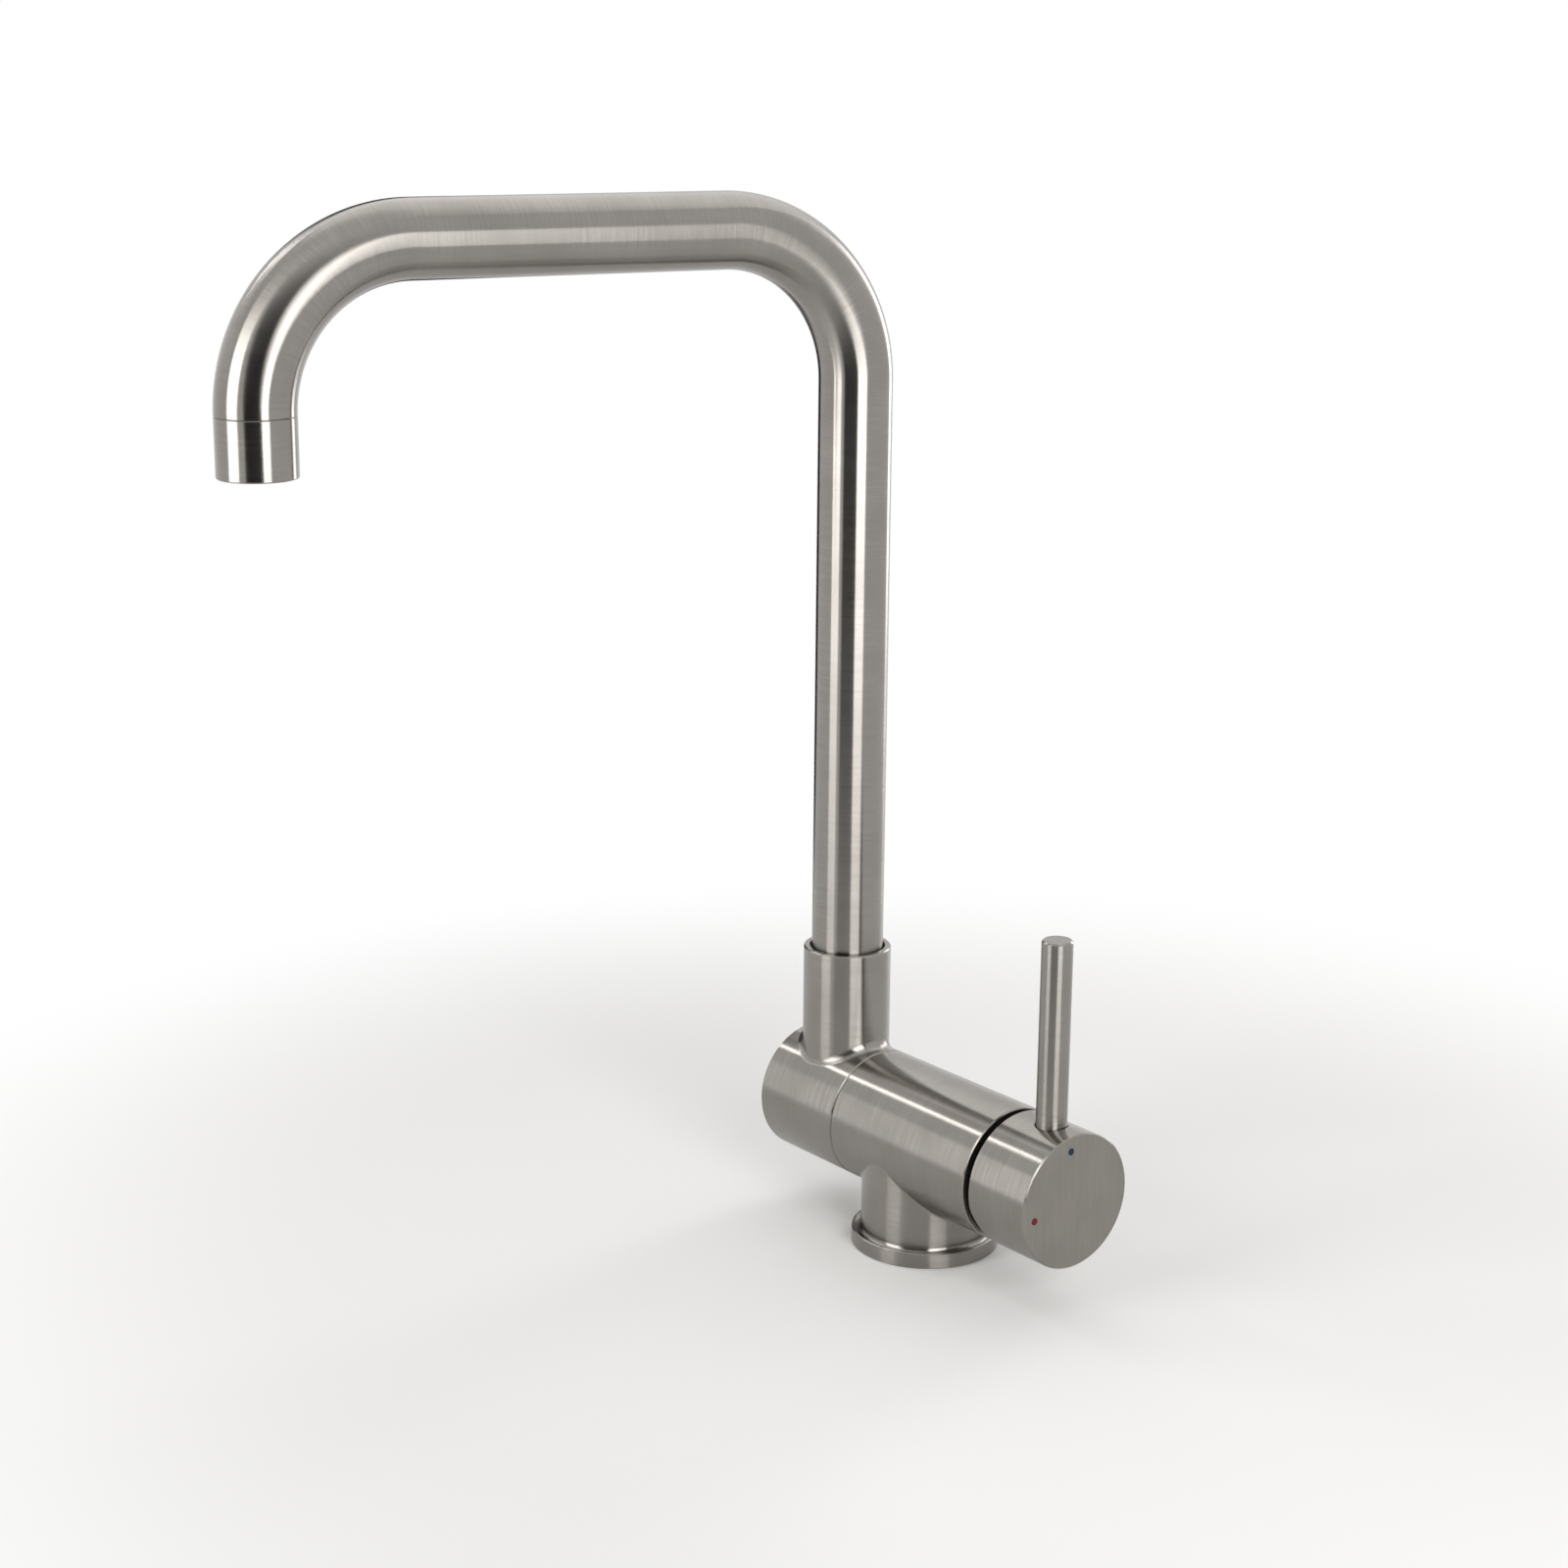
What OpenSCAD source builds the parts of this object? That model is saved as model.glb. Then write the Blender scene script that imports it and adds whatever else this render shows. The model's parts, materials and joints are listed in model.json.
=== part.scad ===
// Folding single-lever mixer tap for a caravan or motorhome.
// Z points up. The origin is the centre of the base flange's underside, on the worktop.
// The barrel lies along X with the handle at +X. The spout's knuckle turns on the barrel's
// rear end, so the upright spout folds down towards -Y, and the spout swivels in its collar.

/* [Body] */
// Diameter of the barrel, the knuckle and the handle cap
body_d = 46; // [44:0.5:49]
// Height of the barrel's axis above the worktop
axis_h = 38.8; // [37:0.1:42]
// Distance from the pillar's axis to the barrel's front edge
body_front = 44.2; // [44:0.1:52]
// Distance from the pillar's axis to the seam between barrel and knuckle
seam_x = 24.5; // [23.5:0.5:30]
// Diameter of the pillar under the barrel
pillar_d = 44.4; // [42:0.1:45]
// Size of the edge chamfers
edge = 0.4; // [0.2:0.1:0.6]

/* [Base] */
// Diameter of the base flange
flange_d = 51; // [50:0.5:56]
// Height of the base flange
flange_h = 5.7; // [5:0.1:7]
// Width of the flange's raised lip
lip_w = 0.9; // [0.6:0.1:1.1]
// Height of the flange's raised lip above its floor
lip_h = 1.2; // [0.8:0.1:1.6]
// Width of the flared foot of the pillar
foot_flare = 1.1; // [0.8:0.1:1.2]
// Thickness of the base gasket
gasket_t = 1.6; // [1.2:0.1:2.5]
// Width of the base gasket
gasket_w = 3.2; // [2:0.1:3.8]

/* [Mounting set] */
// Outer diameter of the hollow threaded shank
shank_d = 32; // [31:0.5:32.5]
// Bore of the hollow shank, which the hoses pass through
shank_bore = 26.4; // [26:0.1:28]
// Length of the shank below the worktop's upper face
shank_len = 48; // [42:1:60]
// Depth to which the shank is screwed into the pillar
shank_grip = 12; // [8:0.5:13]
// Thickness of the worktop that the nut is drawn for
worktop_t = 20; // [10:1:24]
// Diameter of the washers under the worktop
washer_d = 48; // [44:1:54]
// Thickness of the rubber washer
rubber_t = 3; // [2:0.5:4]
// Thickness of the steel washer
steel_t = 1.5; // [1:0.5:2.5]
// Width across flats of the lock nut
nut_af = 41; // [38:1:46]
// Height of the lock nut
nut_h = 8; // [6:0.5:10]

/* [Inlets] */
// Diameter of the inlet ports, for M10 hose tails
port_d = 10; // [9:0.1:10.4]
// Length of the inlet ports
port_len = 12; // [10:0.5:13]
// Distance between the two inlet ports
port_gap = 12.4; // [12:0.1:13]
// Offset of the inlet ports from the pillar's axis
port_shift = 4; // [3.6:0.1:4.4]
// Diameter of the water channels in the body
channel_d = 5.6; // [4.5:0.1:5.8]

/* [Knuckle] */
// Width of the knuckle along the barrel
knuckle_w = 39.2; // [38:0.2:44]
// Gap at the seam between barrel and knuckle
seam_gap = 0.3; // [0.2:0.05:0.4]
// Gap between the spout tube and the collar that holds it
collar_gap = 0.8; // [0.6:0.1:1.2]
// Wall thickness of the collar
collar_wall = 2; // [1.8:0.1:3.5]
// Height of the collar's rim above the worktop
collar_top = 96.3; // [95.5:0.1:104]
// Height of the spout's seat in the collar above the barrel's axis
seat_rise = 27.5; // [26:0.5:28]
// Depth of the recess in the knuckle's rear end
rear_depth = 9; // [8.5:0.1:11]
// Diameter of the recess in the knuckle's rear end
rear_d = 35; // [32:0.5:36]
// Diameter of the cap in the knuckle's rear end
end_cap_d = 38.4; // [37:0.2:41]
// Thickness of the cap in the knuckle's rear end
end_cap_t = 2; // [1.5:0.1:2.4]

/* [Hinge axle] */
// Diameter of the hollow axle that the knuckle turns on
axle_d = 22; // [20:0.5:23]
// Bore of the hollow axle
axle_bore = 12; // [8:0.5:12.5]
// Diameter of the axle's two threaded ends
axle_thread_d = 16; // [14:0.5:17]
// Depth to which the axle reaches into the barrel
axle_grip = 9.5; // [7:0.5:10]
// Diameter of the axle's flange
axle_flange_d = 28; // [26:0.5:29]
// Thickness of the axle's flange
axle_flange_t = 2; // [1.5:0.1:2.5]
// Width across flats of the axle nut
axle_nut_af = 24; // [21:0.5:26]
// Height of the axle nut
axle_nut_h = 4; // [3:0.1:4.4]
// Thickness of the seam washer
seam_washer_t = 0.8; // [0.6:0.05:1]
// Thickness of the washer behind the knuckle
thrust_t = 1; // [0.8:0.05:1.2]
// Thickness of the spring washer
spring_t = 0.6; // [0.4:0.05:0.8]
// Diameter of the fold stop pin
stop_d = 4; // [3:0.1:4.4]
// Distance of the fold stop pin from the axle's centre
stop_r = 17.6; // [17.4:0.1:18.4]
// Length of the fold stop pin on each side of the seam
stop_len = 5; // [4:0.5:7]
// Angle of the fold stop pin from straight below the axle, towards +Y
stop_turn = 45; // [30:1:60]
// Angle through which the spout folds down
fold_angle = 90; // [80:1:95]

/* [Spout] */
// Outer diameter of the spout tube
tube_d = 25; // [24.2:0.1:25.2]
// Wall thickness of the spout tube
tube_wall = 1.2; // [1:0.1:1.5]
// Bend radius of the spout tube, on its centre line
bend_r = 50.4; // [40:0.2:60]
// Height of the spout arm's centre line above the worktop
arm_h = 344.3; // [300:0.1:380]
// Distance from the spout's axis to the centre of the outlet
reach = 210; // [170:1:240]
// Length of straight tube between the second bend and the outlet sleeve
tail_len = 0.3; // [0.2:0.1:30]
// Length of the outlet sleeve below its seam
sleeve_len = 18.6; // [17:0.1:24]
// Depth to which the outlet sleeve reaches into the tube
sleeve_grip = 2.4; // [1.5:0.1:2.6]
// Direction of the arm at rest, turned about the spout's axis from -Y
spout_yaw = -8; // [-30:1:30]

/* [Spout spigot] */
// Diameter of the spigot's neck in its sealing bore
neck_d = 19; // [17:0.1:19.6]
// Bore of the spigot
spigot_bore = 12; // [9:0.1:12.4]
// Length of the spigot's neck
neck_len = 14; // [13:0.1:14.6]
// Height of the spigot's flange under the tube
spigot_flange_h = 12; // [11:0.5:13]
// Length of the spigot inside the tube
spigot_grip = 14; // [8:0.5:18]
// Thickness of the ring that the spout stands on
seat_ring_t = 1; // [0.8:0.1:1.4]
// Diameter of the screw that retains the spout
retain_d = 5; // [4:0.1:5.2]
// Width of the groove that the retaining screw runs in
groove_w = 4; // [3.6:0.1:5]
// Height of the guide bush at the collar's rim
bush_h = 3; // [2:0.1:4]
// Depth of the guide bush below the collar's rim
bush_drop = 3.2; // [2.5:0.1:4]

/* [Aerator] */
// Diameter of the aerator
aerator_d = 22.4; // [21.6:0.1:22.5]
// Height of the aerator's housing
aerator_h = 11; // [9.6:0.1:11.4]
// Depth of the aerator above the outlet's end
aerator_inset = 1; // [0.6:0.1:1.6]
// Wall thickness of the aerator's housing
aerator_wall = 2.4; // [1.8:0.1:3]
// Thickness of the aerator's gasket
aerator_gasket_t = 2; // [1.5:0.1:2.4]
// Diameter of the holes in the aerator's screen
screen_hole_d = 1.5; // [1:0.1:1.7]
// Distance between the holes in the aerator's screen
screen_pitch = 2.3; // [2.2:0.1:2.6]

/* [Handle] */
// Gap between the barrel and the handle cap
cap_gap = 2.8; // [2.6:0.1:3.2]
// Clearance left between the barrel and the handle cap when the cap is tilted
tilt_clear = 1.2; // [0.4:0.1:1.2]
// Length of the handle cap
cap_len = 26.4; // [25:0.2:32]
// Wall thickness of the handle cap's hollow rear
cap_wall = 3.2; // [2.5:0.1:4]
// Depth of the handle cap's hollow rear
cap_hollow = 7.5; // [7:0.1:9]
// Angle through which the lever tilts to open the tap
tilt_angle = 15; // [10:1:16]
// Diameter of the lever
lever_d = 10.4; // [9:0.1:11.5]
// Distance of the lever from the handle cap's face
lever_set = 12.2; // [11.5:0.1:14]
// Height of the lever's top above the worktop
lever_top = 124.8; // [110:0.1:140]
// Width of the gap round the lever where it enters the cap
lever_gap = 0.35; // [0.2:0.05:0.5]
// Depth of the lever's seat below the cap's surface
lever_sink = 9; // [7:0.5:10]
// Diameter of the lever's threaded end
lever_thread_d = 8; // [6:0.5:8.5]
// Diameter of the handle's grub screw
grub_d = 5; // [4:0.1:6]
// Length of the handle's grub screw
grub_len = 8; // [6:0.5:12]
// Diameter of the cold and hot marks
mark_d = 2.3; // [1.8:0.1:3]
// Thickness of the cold and hot marks
mark_t = 0.5; // [0.4:0.05:0.8]
// Distance of the marks from the middle of the face
mark_r = 18; // [15:0.1:18.5]
// Angle of the cold mark from the lever, towards -Y
mark_turn = 8; // [0:1:15]

/* [Cartridge] */
// Diameter of the cartridge
cart_d = 35; // [34:0.1:35.4]
// Depth of the cartridge's seat below the barrel's front edge
cart_depth = 31; // [30.8:0.1:31.6]
// Thickness of the cartridge's base
base_t = 3.5; // [3.2:0.1:3.7]
// Thickness of each ceramic disc
disc_t = 3; // [2.8:0.1:3.1]
// Diameter of the fixed ceramic disc
fixed_disc_d = 27; // [26:0.1:30]
// Diameter of the moving ceramic disc and its carrier
moving_disc_d = 24.6; // [24:0.1:25.4]
// Thickness of the carrier's disc
carrier_t = 4.5; // [4.3:0.1:4.7]
// Thickness of the carrier's tongue
tongue_t = 1.6; // [1.2:0.1:1.8]
// Thickness of the rotor's flange
rotor_t = 4.7; // [4:0.1:4.9]
// Diameter of the rotor's neck
rotor_d = 22; // [21:0.1:22.6]
// Wall thickness of the cartridge's housing
housing_wall = 2; // [1.6:0.1:2.4]
// Distance of the water ports from the cartridge's centre
port_r = 7; // [6.6:0.1:7.2]
// Diameter of the nut that holds the cartridge
cart_nut_d = 38.4; // [37.5:0.1:39.5]
// Length of the nut that holds the cartridge
cart_nut_len = 5.9; // [5:0.1:5.9]
// Diameter of the dust ring in the gap
dust_d = 43; // [41:0.1:43.4]
// Depth of the dust ring's front below the barrel's front edge
dust_inset = 0.6; // [0.4:0.1:1]
// Depth of the lever pivot below the barrel's front edge
pivot_depth = 9; // [8.6:0.1:9.4]
// Width of the square stem
stem_w = 8; // [7:0.1:8.4]
// Diameter of the ball at the stem's inner end
ball_d = 5.4; // [5:0.1:5.6]
// Diameter of the stem between the square and the ball
stem_arm_d = 3.6; // [3:0.1:3.8]
// Diameter of the stem's pivot pin
pivot_pin_d = 3; // [2.5:0.1:3.4]

/* [Fits] */
// Radial clearance of turning fits
run_fit = 0.08; // [0.05:0.01:0.1]
// Radial clearance of assembled parts that stay still
still_fit = 0.1; // [0.05:0.01:0.15]
// Clearance between flat faces that slide
face_fit = 0.05; // [0.03:0.01:0.08]
// Clearance between moving parts that don't touch
free_gap = 0.3; // [0.2:0.05:0.35]

/* [Hidden] */
$fn = 96;
over = 1;

steel = [0.63, 0.60, 0.57];
dark_steel = [0.48, 0.46, 0.44];
black = [0.07, 0.07, 0.07];
brass = [0.78, 0.62, 0.32];
ceramic = [0.93, 0.92, 0.88];
ptfe = [0.95, 0.95, 0.93];
blue = [0.12, 0.29, 0.47];
red = [0.69, 0.16, 0.11];

body_r = body_d / 2;
pillar_r = pillar_d / 2;
flange_r = flange_d / 2;
shank_r = shank_d / 2;
floor_z = flange_h - lip_h;
gasket_mid = (shank_r + pillar_r) / 2;

// Places along the barrel, measured from the pillar's axis
seat_x = body_front - cart_depth;
fixed_x = seat_x + base_t;
moving_x = fixed_x + disc_t + face_fit;
carrier_x = moving_x + disc_t;
rotor_x = carrier_x + carrier_t + free_gap;
shoulder_x = rotor_x + rotor_t + 0.2;
housing_x = shoulder_x + housing_wall;
dust_x = housing_x + cart_nut_len;
dust_front = body_front - dust_inset;
neck_x = body_front - 1.6;
rotor_front = neck_x + 0.6;
pivot_x = body_front - pivot_depth;
ball_x = carrier_x + ball_d / 2 + 0.25;
cap_x = body_front + cap_gap;
face_x = cap_x + cap_len;
web_x = cap_x + cap_hollow;
lever_x = face_x - lever_set;
stem_end = lever_x + 5;
rim_arm = cap_x - pivot_x;
bevel_start = (cap_gap - tilt_clear - rim_arm * (1 - cos(tilt_angle))) / sin(tilt_angle);

knuckle_front = -seam_x - seam_gap;
knuckle_rear = knuckle_front - knuckle_w;
spout_x = knuckle_front - knuckle_w / 2;
journal_end = knuckle_rear + rear_depth;
thrust_x = journal_end - face_fit;
spring_x = thrust_x - thrust_t;
axle_nut_x = spring_x - spring_t;
axle_end = axle_nut_x - axle_nut_h - 0.2;
axle_inner = -seam_x + axle_grip;
chamber_x = axle_inner + 2.5;
waist_w = 9;
o_ring_t = 1.6;
o_groove_w = 2.2;
o_ring_inset = [6, 3];
axle_o_x = [knuckle_front - o_ring_inset[0], journal_end + o_ring_inset[1]];

// Heights in the knuckle and the spout
seat_z = axis_h + seat_rise;
spigot_z = seat_z + seat_ring_t;
tube_z = spigot_z + spigot_flange_h;
neck_z = seat_z - neck_len;
collar_bore = tube_d + 2 * collar_gap;
collar_d = collar_bore + 2 * collar_wall;
groove_z = spigot_z + spigot_flange_h / 2 - 1;
bush_z = collar_top - bush_drop - bush_h + 1;
bush_wall = 0.55;
tube_bore = tube_d - 2 * tube_wall;
neck_o_t = 1.5;
neck_o_w = 2.1;
neck_o_z = [neck_z + 3.4, seat_z - 4.6];
bend_z = arm_h - bend_r;
sleeve_top = bend_z - tail_len;
outlet_h = sleeve_top - sleeve_len;
aerator_z = outlet_h + aerator_inset;
gasket_z = aerator_z + aerator_h;
sleeve_step = gasket_z + aerator_gasket_t;

// Where the mixed, cold and hot water pass through the cartridge's base, as Y and Z
cold_port = [0, port_r];
hot_port = [-port_r, 0];
mixed_port = [port_r * cos(45), -port_r * sin(45)];
port_bore = 5.2;
inlet_z = shank_grip;
inlet_top = inlet_z + port_len;

// Puts a piece that is drawn upright along the barrel, so that its Z runs along +X
module on_barrel(x) translate([x, 0, axis_h]) rotate([0, 90, 0]) children();

// Puts a piece on the spout's axis, turned as the spout is at rest
module on_spout(z) translate([spout_x, 0, z]) rotate([0, 0, spout_yaw]) children();

// A plain ring, drawn upright
module ring(d_out, d_in, h) {
    difference() {
        cylinder(d = d_out, h = h);
        translate([0, 0, -over]) cylinder(d = d_in, h = h + 2 * over);
    }
}

// A round bar with chamfered ends, drawn upright
module bar(d, h, c_low, c_high) {
    r = d / 2;
    rotate_extrude()
        polygon([[0, 0], [r - c_low, 0], [r, c_low], [r, h - c_high], [r - c_high, h], [0, h]]);
}

// A straight drilled channel between two points
module drill(a, b, d) {
    v = b - a;
    len = norm(v);
    translate(a) rotate([0, acos(v[2] / len), atan2(v[1], v[0])]) cylinder(d = d, h = len);
}

// An O-ring of round section, drawn upright about its middle plane
module o_ring(d_out, t) rotate_extrude() translate([(d_out - t) / 2, 0]) circle(d = t, $fn = 24);

// A hexagonal nut, drawn upright
module hex_nut(af, d_hole, h) {
    difference() {
        intersection() {
            cylinder(d = af / cos(30), h = h, $fn = 6);
            bar(af / cos(30) - 0.6, h, 1, 1);
        }
        translate([0, 0, -over]) cylinder(d = d_hole, h = h + 2 * over);
    }
}

// The pillar with the concave flare at its foot, down to the worktop
module pillar() {
    flare = [for (a = [0:15:90])
        [pillar_r + foot_flare * (1 - sin(a)), floor_z + 0.4 + 1.6 * (1 - cos(a))]];
    rotate_extrude()
        polygon(concat([[0, 0], [pillar_r - 0.2, 0], [pillar_r - 0.2, floor_z], [pillar_r + foot_flare, floor_z]],
                       flare, [[pillar_r, axis_h], [0, axis_h]]));
}

// The barrel and pillar in one casting, with its bores and water channels
module tap_body() {
    barrel_len = body_front + seam_x;
    hot = [port_gap / 2, -port_shift];
    cold = [-port_gap / 2, -port_shift];
    color(steel) difference() {
        union() {
            on_barrel(-seam_x) bar(body_d, barrel_len, edge, edge);
            pillar();
        }
        on_barrel(seat_x) cylinder(d = cart_d + 2 * still_fit, h = barrel_len);
        on_barrel(housing_x) cylinder(d = cart_nut_d + 2 * still_fit, h = barrel_len);
        on_barrel(dust_x) cylinder(d = dust_d + 2 * still_fit, h = barrel_len);
        on_barrel(-seam_x - over) cylinder(d = axle_thread_d + 2 * still_fit, h = axle_grip + over);
        on_barrel(-seam_x - over) cylinder(d = axle_flange_d + 2 * still_fit, h = axle_flange_t + over);
        on_barrel(axle_inner - 0.01) cylinder(d = axle_bore + 1, h = chamber_x - axle_inner + 0.01);
        stop_hole(-seam_x - over, stop_len + over, stop_d);
        base_lugs(seat_x - 2.2, still_fit, 4);
        translate([0, 0, -over]) cylinder(d = shank_d + 2 * still_fit, h = shank_grip + over);
        translate([0, 0, -over]) ring(2 * gasket_mid + gasket_w + 2 * still_fit,
                                      2 * gasket_mid - gasket_w - 2 * still_fit, gasket_t + over);
        for (p = [hot, cold]) translate([p[0], p[1], inlet_z - over]) cylinder(d = port_d, h = port_len + over);
        drill([hot[0], hot[1], inlet_top - 0.01], [hot[0], hot[1], axis_h + hot_port[1]], channel_d);
        drill([hot[0], hot[1], axis_h + hot_port[1]], [seat_x + over, hot_port[0], axis_h + hot_port[1]], port_bore);
        translate([hot[0], hot[1], axis_h + hot_port[1]]) sphere(d = channel_d);
        drill([cold[0], cold[1], inlet_top - 0.01], [cold[0], cold[1], axis_h + cold_port[1]], channel_d);
        drill([cold[0], cold[1], axis_h + cold_port[1]], [seat_x + over, cold_port[0], axis_h + cold_port[1]], port_bore);
        translate([cold[0], cold[1], axis_h + cold_port[1]]) sphere(d = channel_d);
        drill([seat_x + over, mixed_port[0], axis_h + mixed_port[1]],
              [chamber_x - 1.5, axle_bore / 4, axis_h - axle_bore / 4], port_bore);
    }
}

// The hole or pin of the fold stop, below the axle and towards +Y, running along +X from x
module stop_hole(x, len, d) {
    on_barrel(x) rotate([0, 0, stop_turn]) translate([stop_r, 0, 0]) cylinder(d = d, h = len);
}

// The two locating lugs of the cartridge's base
module base_lugs(x, fit, len) {
    for (a = [20, 200]) on_barrel(x) rotate([0, 0, a]) translate([13, 0, 0]) cylinder(d = 3 + 2 * fit, h = len);
}

// The ring that covers the worktop hole, with a raised lip round the pillar's foot
module base_flange() {
    color(steel) rotate_extrude()
        polygon([[pillar_r - 0.2 + still_fit, 0], [flange_r - edge, 0], [flange_r, edge],
                 [flange_r, flange_h - edge], [flange_r - edge, flange_h],
                 [flange_r - lip_w, flange_h], [flange_r - lip_w, floor_z],
                 [pillar_r - 0.2 + still_fit, floor_z]]);
}

module base_gasket() {
    color(black) ring(2 * gasket_mid + gasket_w, 2 * gasket_mid - gasket_w, gasket_t);
}

// The hollow threaded shank that is screwed into the pillar
module mounting_shank() {
    color(brass) translate([0, 0, -shank_len]) difference() {
        bar(shank_d, shank_len + shank_grip, 1, 0.6);
        translate([0, 0, -over]) cylinder(d = shank_bore, h = shank_len + shank_grip + 2 * over);
    }
}

module rubber_washer() {
    color(black) translate([0, 0, -worktop_t - rubber_t]) ring(washer_d, shank_d + 2 * still_fit, rubber_t);
}

module steel_washer() {
    color(dark_steel) translate([0, 0, -worktop_t - rubber_t - steel_t])
        ring(washer_d, shank_d + 2 * still_fit, steel_t);
}

module lock_nut() {
    color(brass) translate([0, 0, -worktop_t - rubber_t - steel_t - nut_h])
        hex_nut(nut_af, shank_d + 2 * still_fit, nut_h);
}

// The hollow axle, with its flange in the barrel, its journal in the knuckle and its cross ports
module hinge_axle() {
    journal_r = axle_d / 2;
    thread_r = axle_thread_d / 2;
    groove_r = journal_r - o_ring_t;
    color(brass) difference() {
        on_barrel(axle_end) rotate_extrude()
            polygon([[0, 0], [thread_r - 0.5, 0], [thread_r, 0.5], [thread_r, journal_end - axle_end],
                     [journal_r, journal_end - axle_end], [journal_r, -seam_x - axle_end],
                     [axle_flange_d / 2, -seam_x - axle_end],
                     [axle_flange_d / 2, -seam_x + axle_flange_t - axle_end],
                     [thread_r, -seam_x + axle_flange_t - axle_end], [thread_r, axle_inner - axle_end],
                     [0, axle_inner - axle_end]]);
        on_barrel(journal_end + 6) cylinder(d = axle_bore, h = axle_inner - journal_end);
        for (x = axle_o_x) on_barrel(x - o_groove_w / 2) ring(axle_d + 2, 2 * groove_r, o_groove_w);
        on_barrel(spout_x - waist_w / 2) ring(axle_d + 2, axle_d - 3, waist_w);
        for (a = [0, 90]) translate([spout_x, 0, axis_h]) rotate([a, 0, 0])
            cylinder(d = waist_w - 2.5, h = axle_d + 2, center = true);
    }
}

module axle_o_rings() {
    color(black) for (x = axle_o_x) on_barrel(x) o_ring(axle_d, o_ring_t);
}

module seam_washer() {
    color(ptfe) on_barrel(-seam_x - seam_washer_t) ring(axle_flange_d, axle_d + 2 * still_fit, seam_washer_t);
}

module thrust_washer() {
    color(ptfe) on_barrel(spring_x) ring(rear_d - 5, axle_thread_d + 2 * still_fit, thrust_t);
}

module spring_washer() {
    color(dark_steel) on_barrel(axle_nut_x) ring(rear_d - 7, axle_thread_d + 2 * still_fit, spring_t);
}

module axle_nut() {
    color(brass) on_barrel(axle_nut_x - axle_nut_h) hex_nut(axle_nut_af, axle_thread_d + 2 * still_fit, axle_nut_h);
}

module fold_stop_pin() {
    color(dark_steel) stop_hole(-seam_x - stop_len, 2 * stop_len, stop_d);
}

// The arc slot in the knuckle's front that the stop pin runs in. Folding carries the slot
// round the fixed pin, which touches one end with the spout upright and the other when folded
module stop_slot() {
    wide = stop_d + 0.4;
    deep = stop_len - seam_gap + 0.5;
    on_barrel(knuckle_front - deep) {
        for (a = [stop_turn - fold_angle, stop_turn]) rotate([0, 0, a]) translate([stop_r, 0, 0])
            cylinder(d = wide, h = deep + over);
        rotate([0, 0, stop_turn - fold_angle]) rotate_extrude(angle = fold_angle)
            translate([stop_r - wide / 2, 0]) square([wide, deep + over]);
    }
}

// The turning knuckle with the collar that holds the spout
module knuckle() {
    color(steel) difference() {
        union() {
            on_barrel(knuckle_rear) bar(body_d, knuckle_w, 0.7, edge);
            translate([spout_x, 0, axis_h]) bar(collar_d, collar_top - axis_h, 0.2, edge);
        }
        on_barrel(knuckle_rear - over) cylinder(d = axle_d + 2 * run_fit, h = knuckle_w + 2 * over);
        on_barrel(knuckle_front - seam_washer_t + seam_gap - face_fit)
            cylinder(d = axle_flange_d + 2 * free_gap, h = seam_washer_t + over);
        on_barrel(knuckle_rear - over) cylinder(d = rear_d, h = rear_depth + over);
        on_barrel(knuckle_rear - over) cylinder(d = end_cap_d + 2 * still_fit, h = end_cap_t + over);
        stop_slot();
        translate([spout_x, 0, seat_z]) cylinder(d = collar_bore, h = collar_top);
        translate([spout_x, 0, axis_h + axle_d / 4]) cylinder(d = neck_d, h = seat_z);
        translate([spout_x, 0, bush_z]) cylinder(d = collar_bore + 2 * bush_wall, h = bush_h);
        translate([spout_x, 0, groove_z]) rotate([0, -90, 0]) cylinder(d = retain_d, h = collar_d);
    }
}

module knuckle_end_cap() {
    color(steel) on_barrel(knuckle_rear) bar(end_cap_d, end_cap_t, edge, 0);
}

module spout_seat_ring() {
    color(ptfe) translate([spout_x, 0, seat_z]) ring(collar_bore - 2 * still_fit, neck_d + 0.2, seat_ring_t - face_fit);
}

module spout_guide_bush() {
    color(black) translate([spout_x, 0, bush_z + still_fit])
        ring(collar_bore + 2 * bush_wall - 2 * still_fit, tube_d + 2 * run_fit, bush_h - 2 * still_fit);
}

// The grub screw that runs in the spigot's groove and keeps the spout in its collar
module spout_retaining_screw() {
    tip_d = groove_w - 0.3;
    tip_r = tube_d / 2 - 0.7;
    wall_r = collar_bore / 2;
    color(dark_steel) translate([spout_x, 0, groove_z]) rotate([0, -90, 0]) difference() {
        union() {
            translate([0, 0, tip_r]) cylinder(d = tip_d, h = collar_d / 2 - tip_r - 0.3);
            translate([0, 0, wall_r]) cylinder(d = retain_d - 2 * still_fit, h = collar_d / 2 - wall_r - 0.3);
        }
        translate([0, 0, collar_d / 2 - 1.6]) cylinder(d = retain_d / 2, h = 3, $fn = 6);
    }
}

// The spout's course, upright, over, and down to low_z, drawn with its arm along -Y
module spout_run(d, low_z, from_z) {
    translate([0, 0, from_z]) cylinder(d = d, h = bend_z - from_z);
    translate([0, -bend_r, bend_z]) rotate([90, 0, 90]) rotate_extrude(angle = 90)
        translate([bend_r, 0]) circle(d = d);
    translate([0, -bend_r, arm_h]) rotate([90, 0, 0]) cylinder(d = d, h = reach - 2 * bend_r);
    translate([0, bend_r - reach, bend_z]) rotate([90, 0, 90]) rotate([0, 0, 90]) rotate_extrude(angle = 90)
        translate([bend_r, 0]) circle(d = d);
    translate([0, -reach, low_z]) cylinder(d = d, h = bend_z - low_z);
}

module spout_tube() {
    color(steel) on_spout(0) difference() {
        spout_run(tube_d, sleeve_top, tube_z);
        spout_run(tube_bore, sleeve_top - over, tube_z - over);
    }
}

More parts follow.
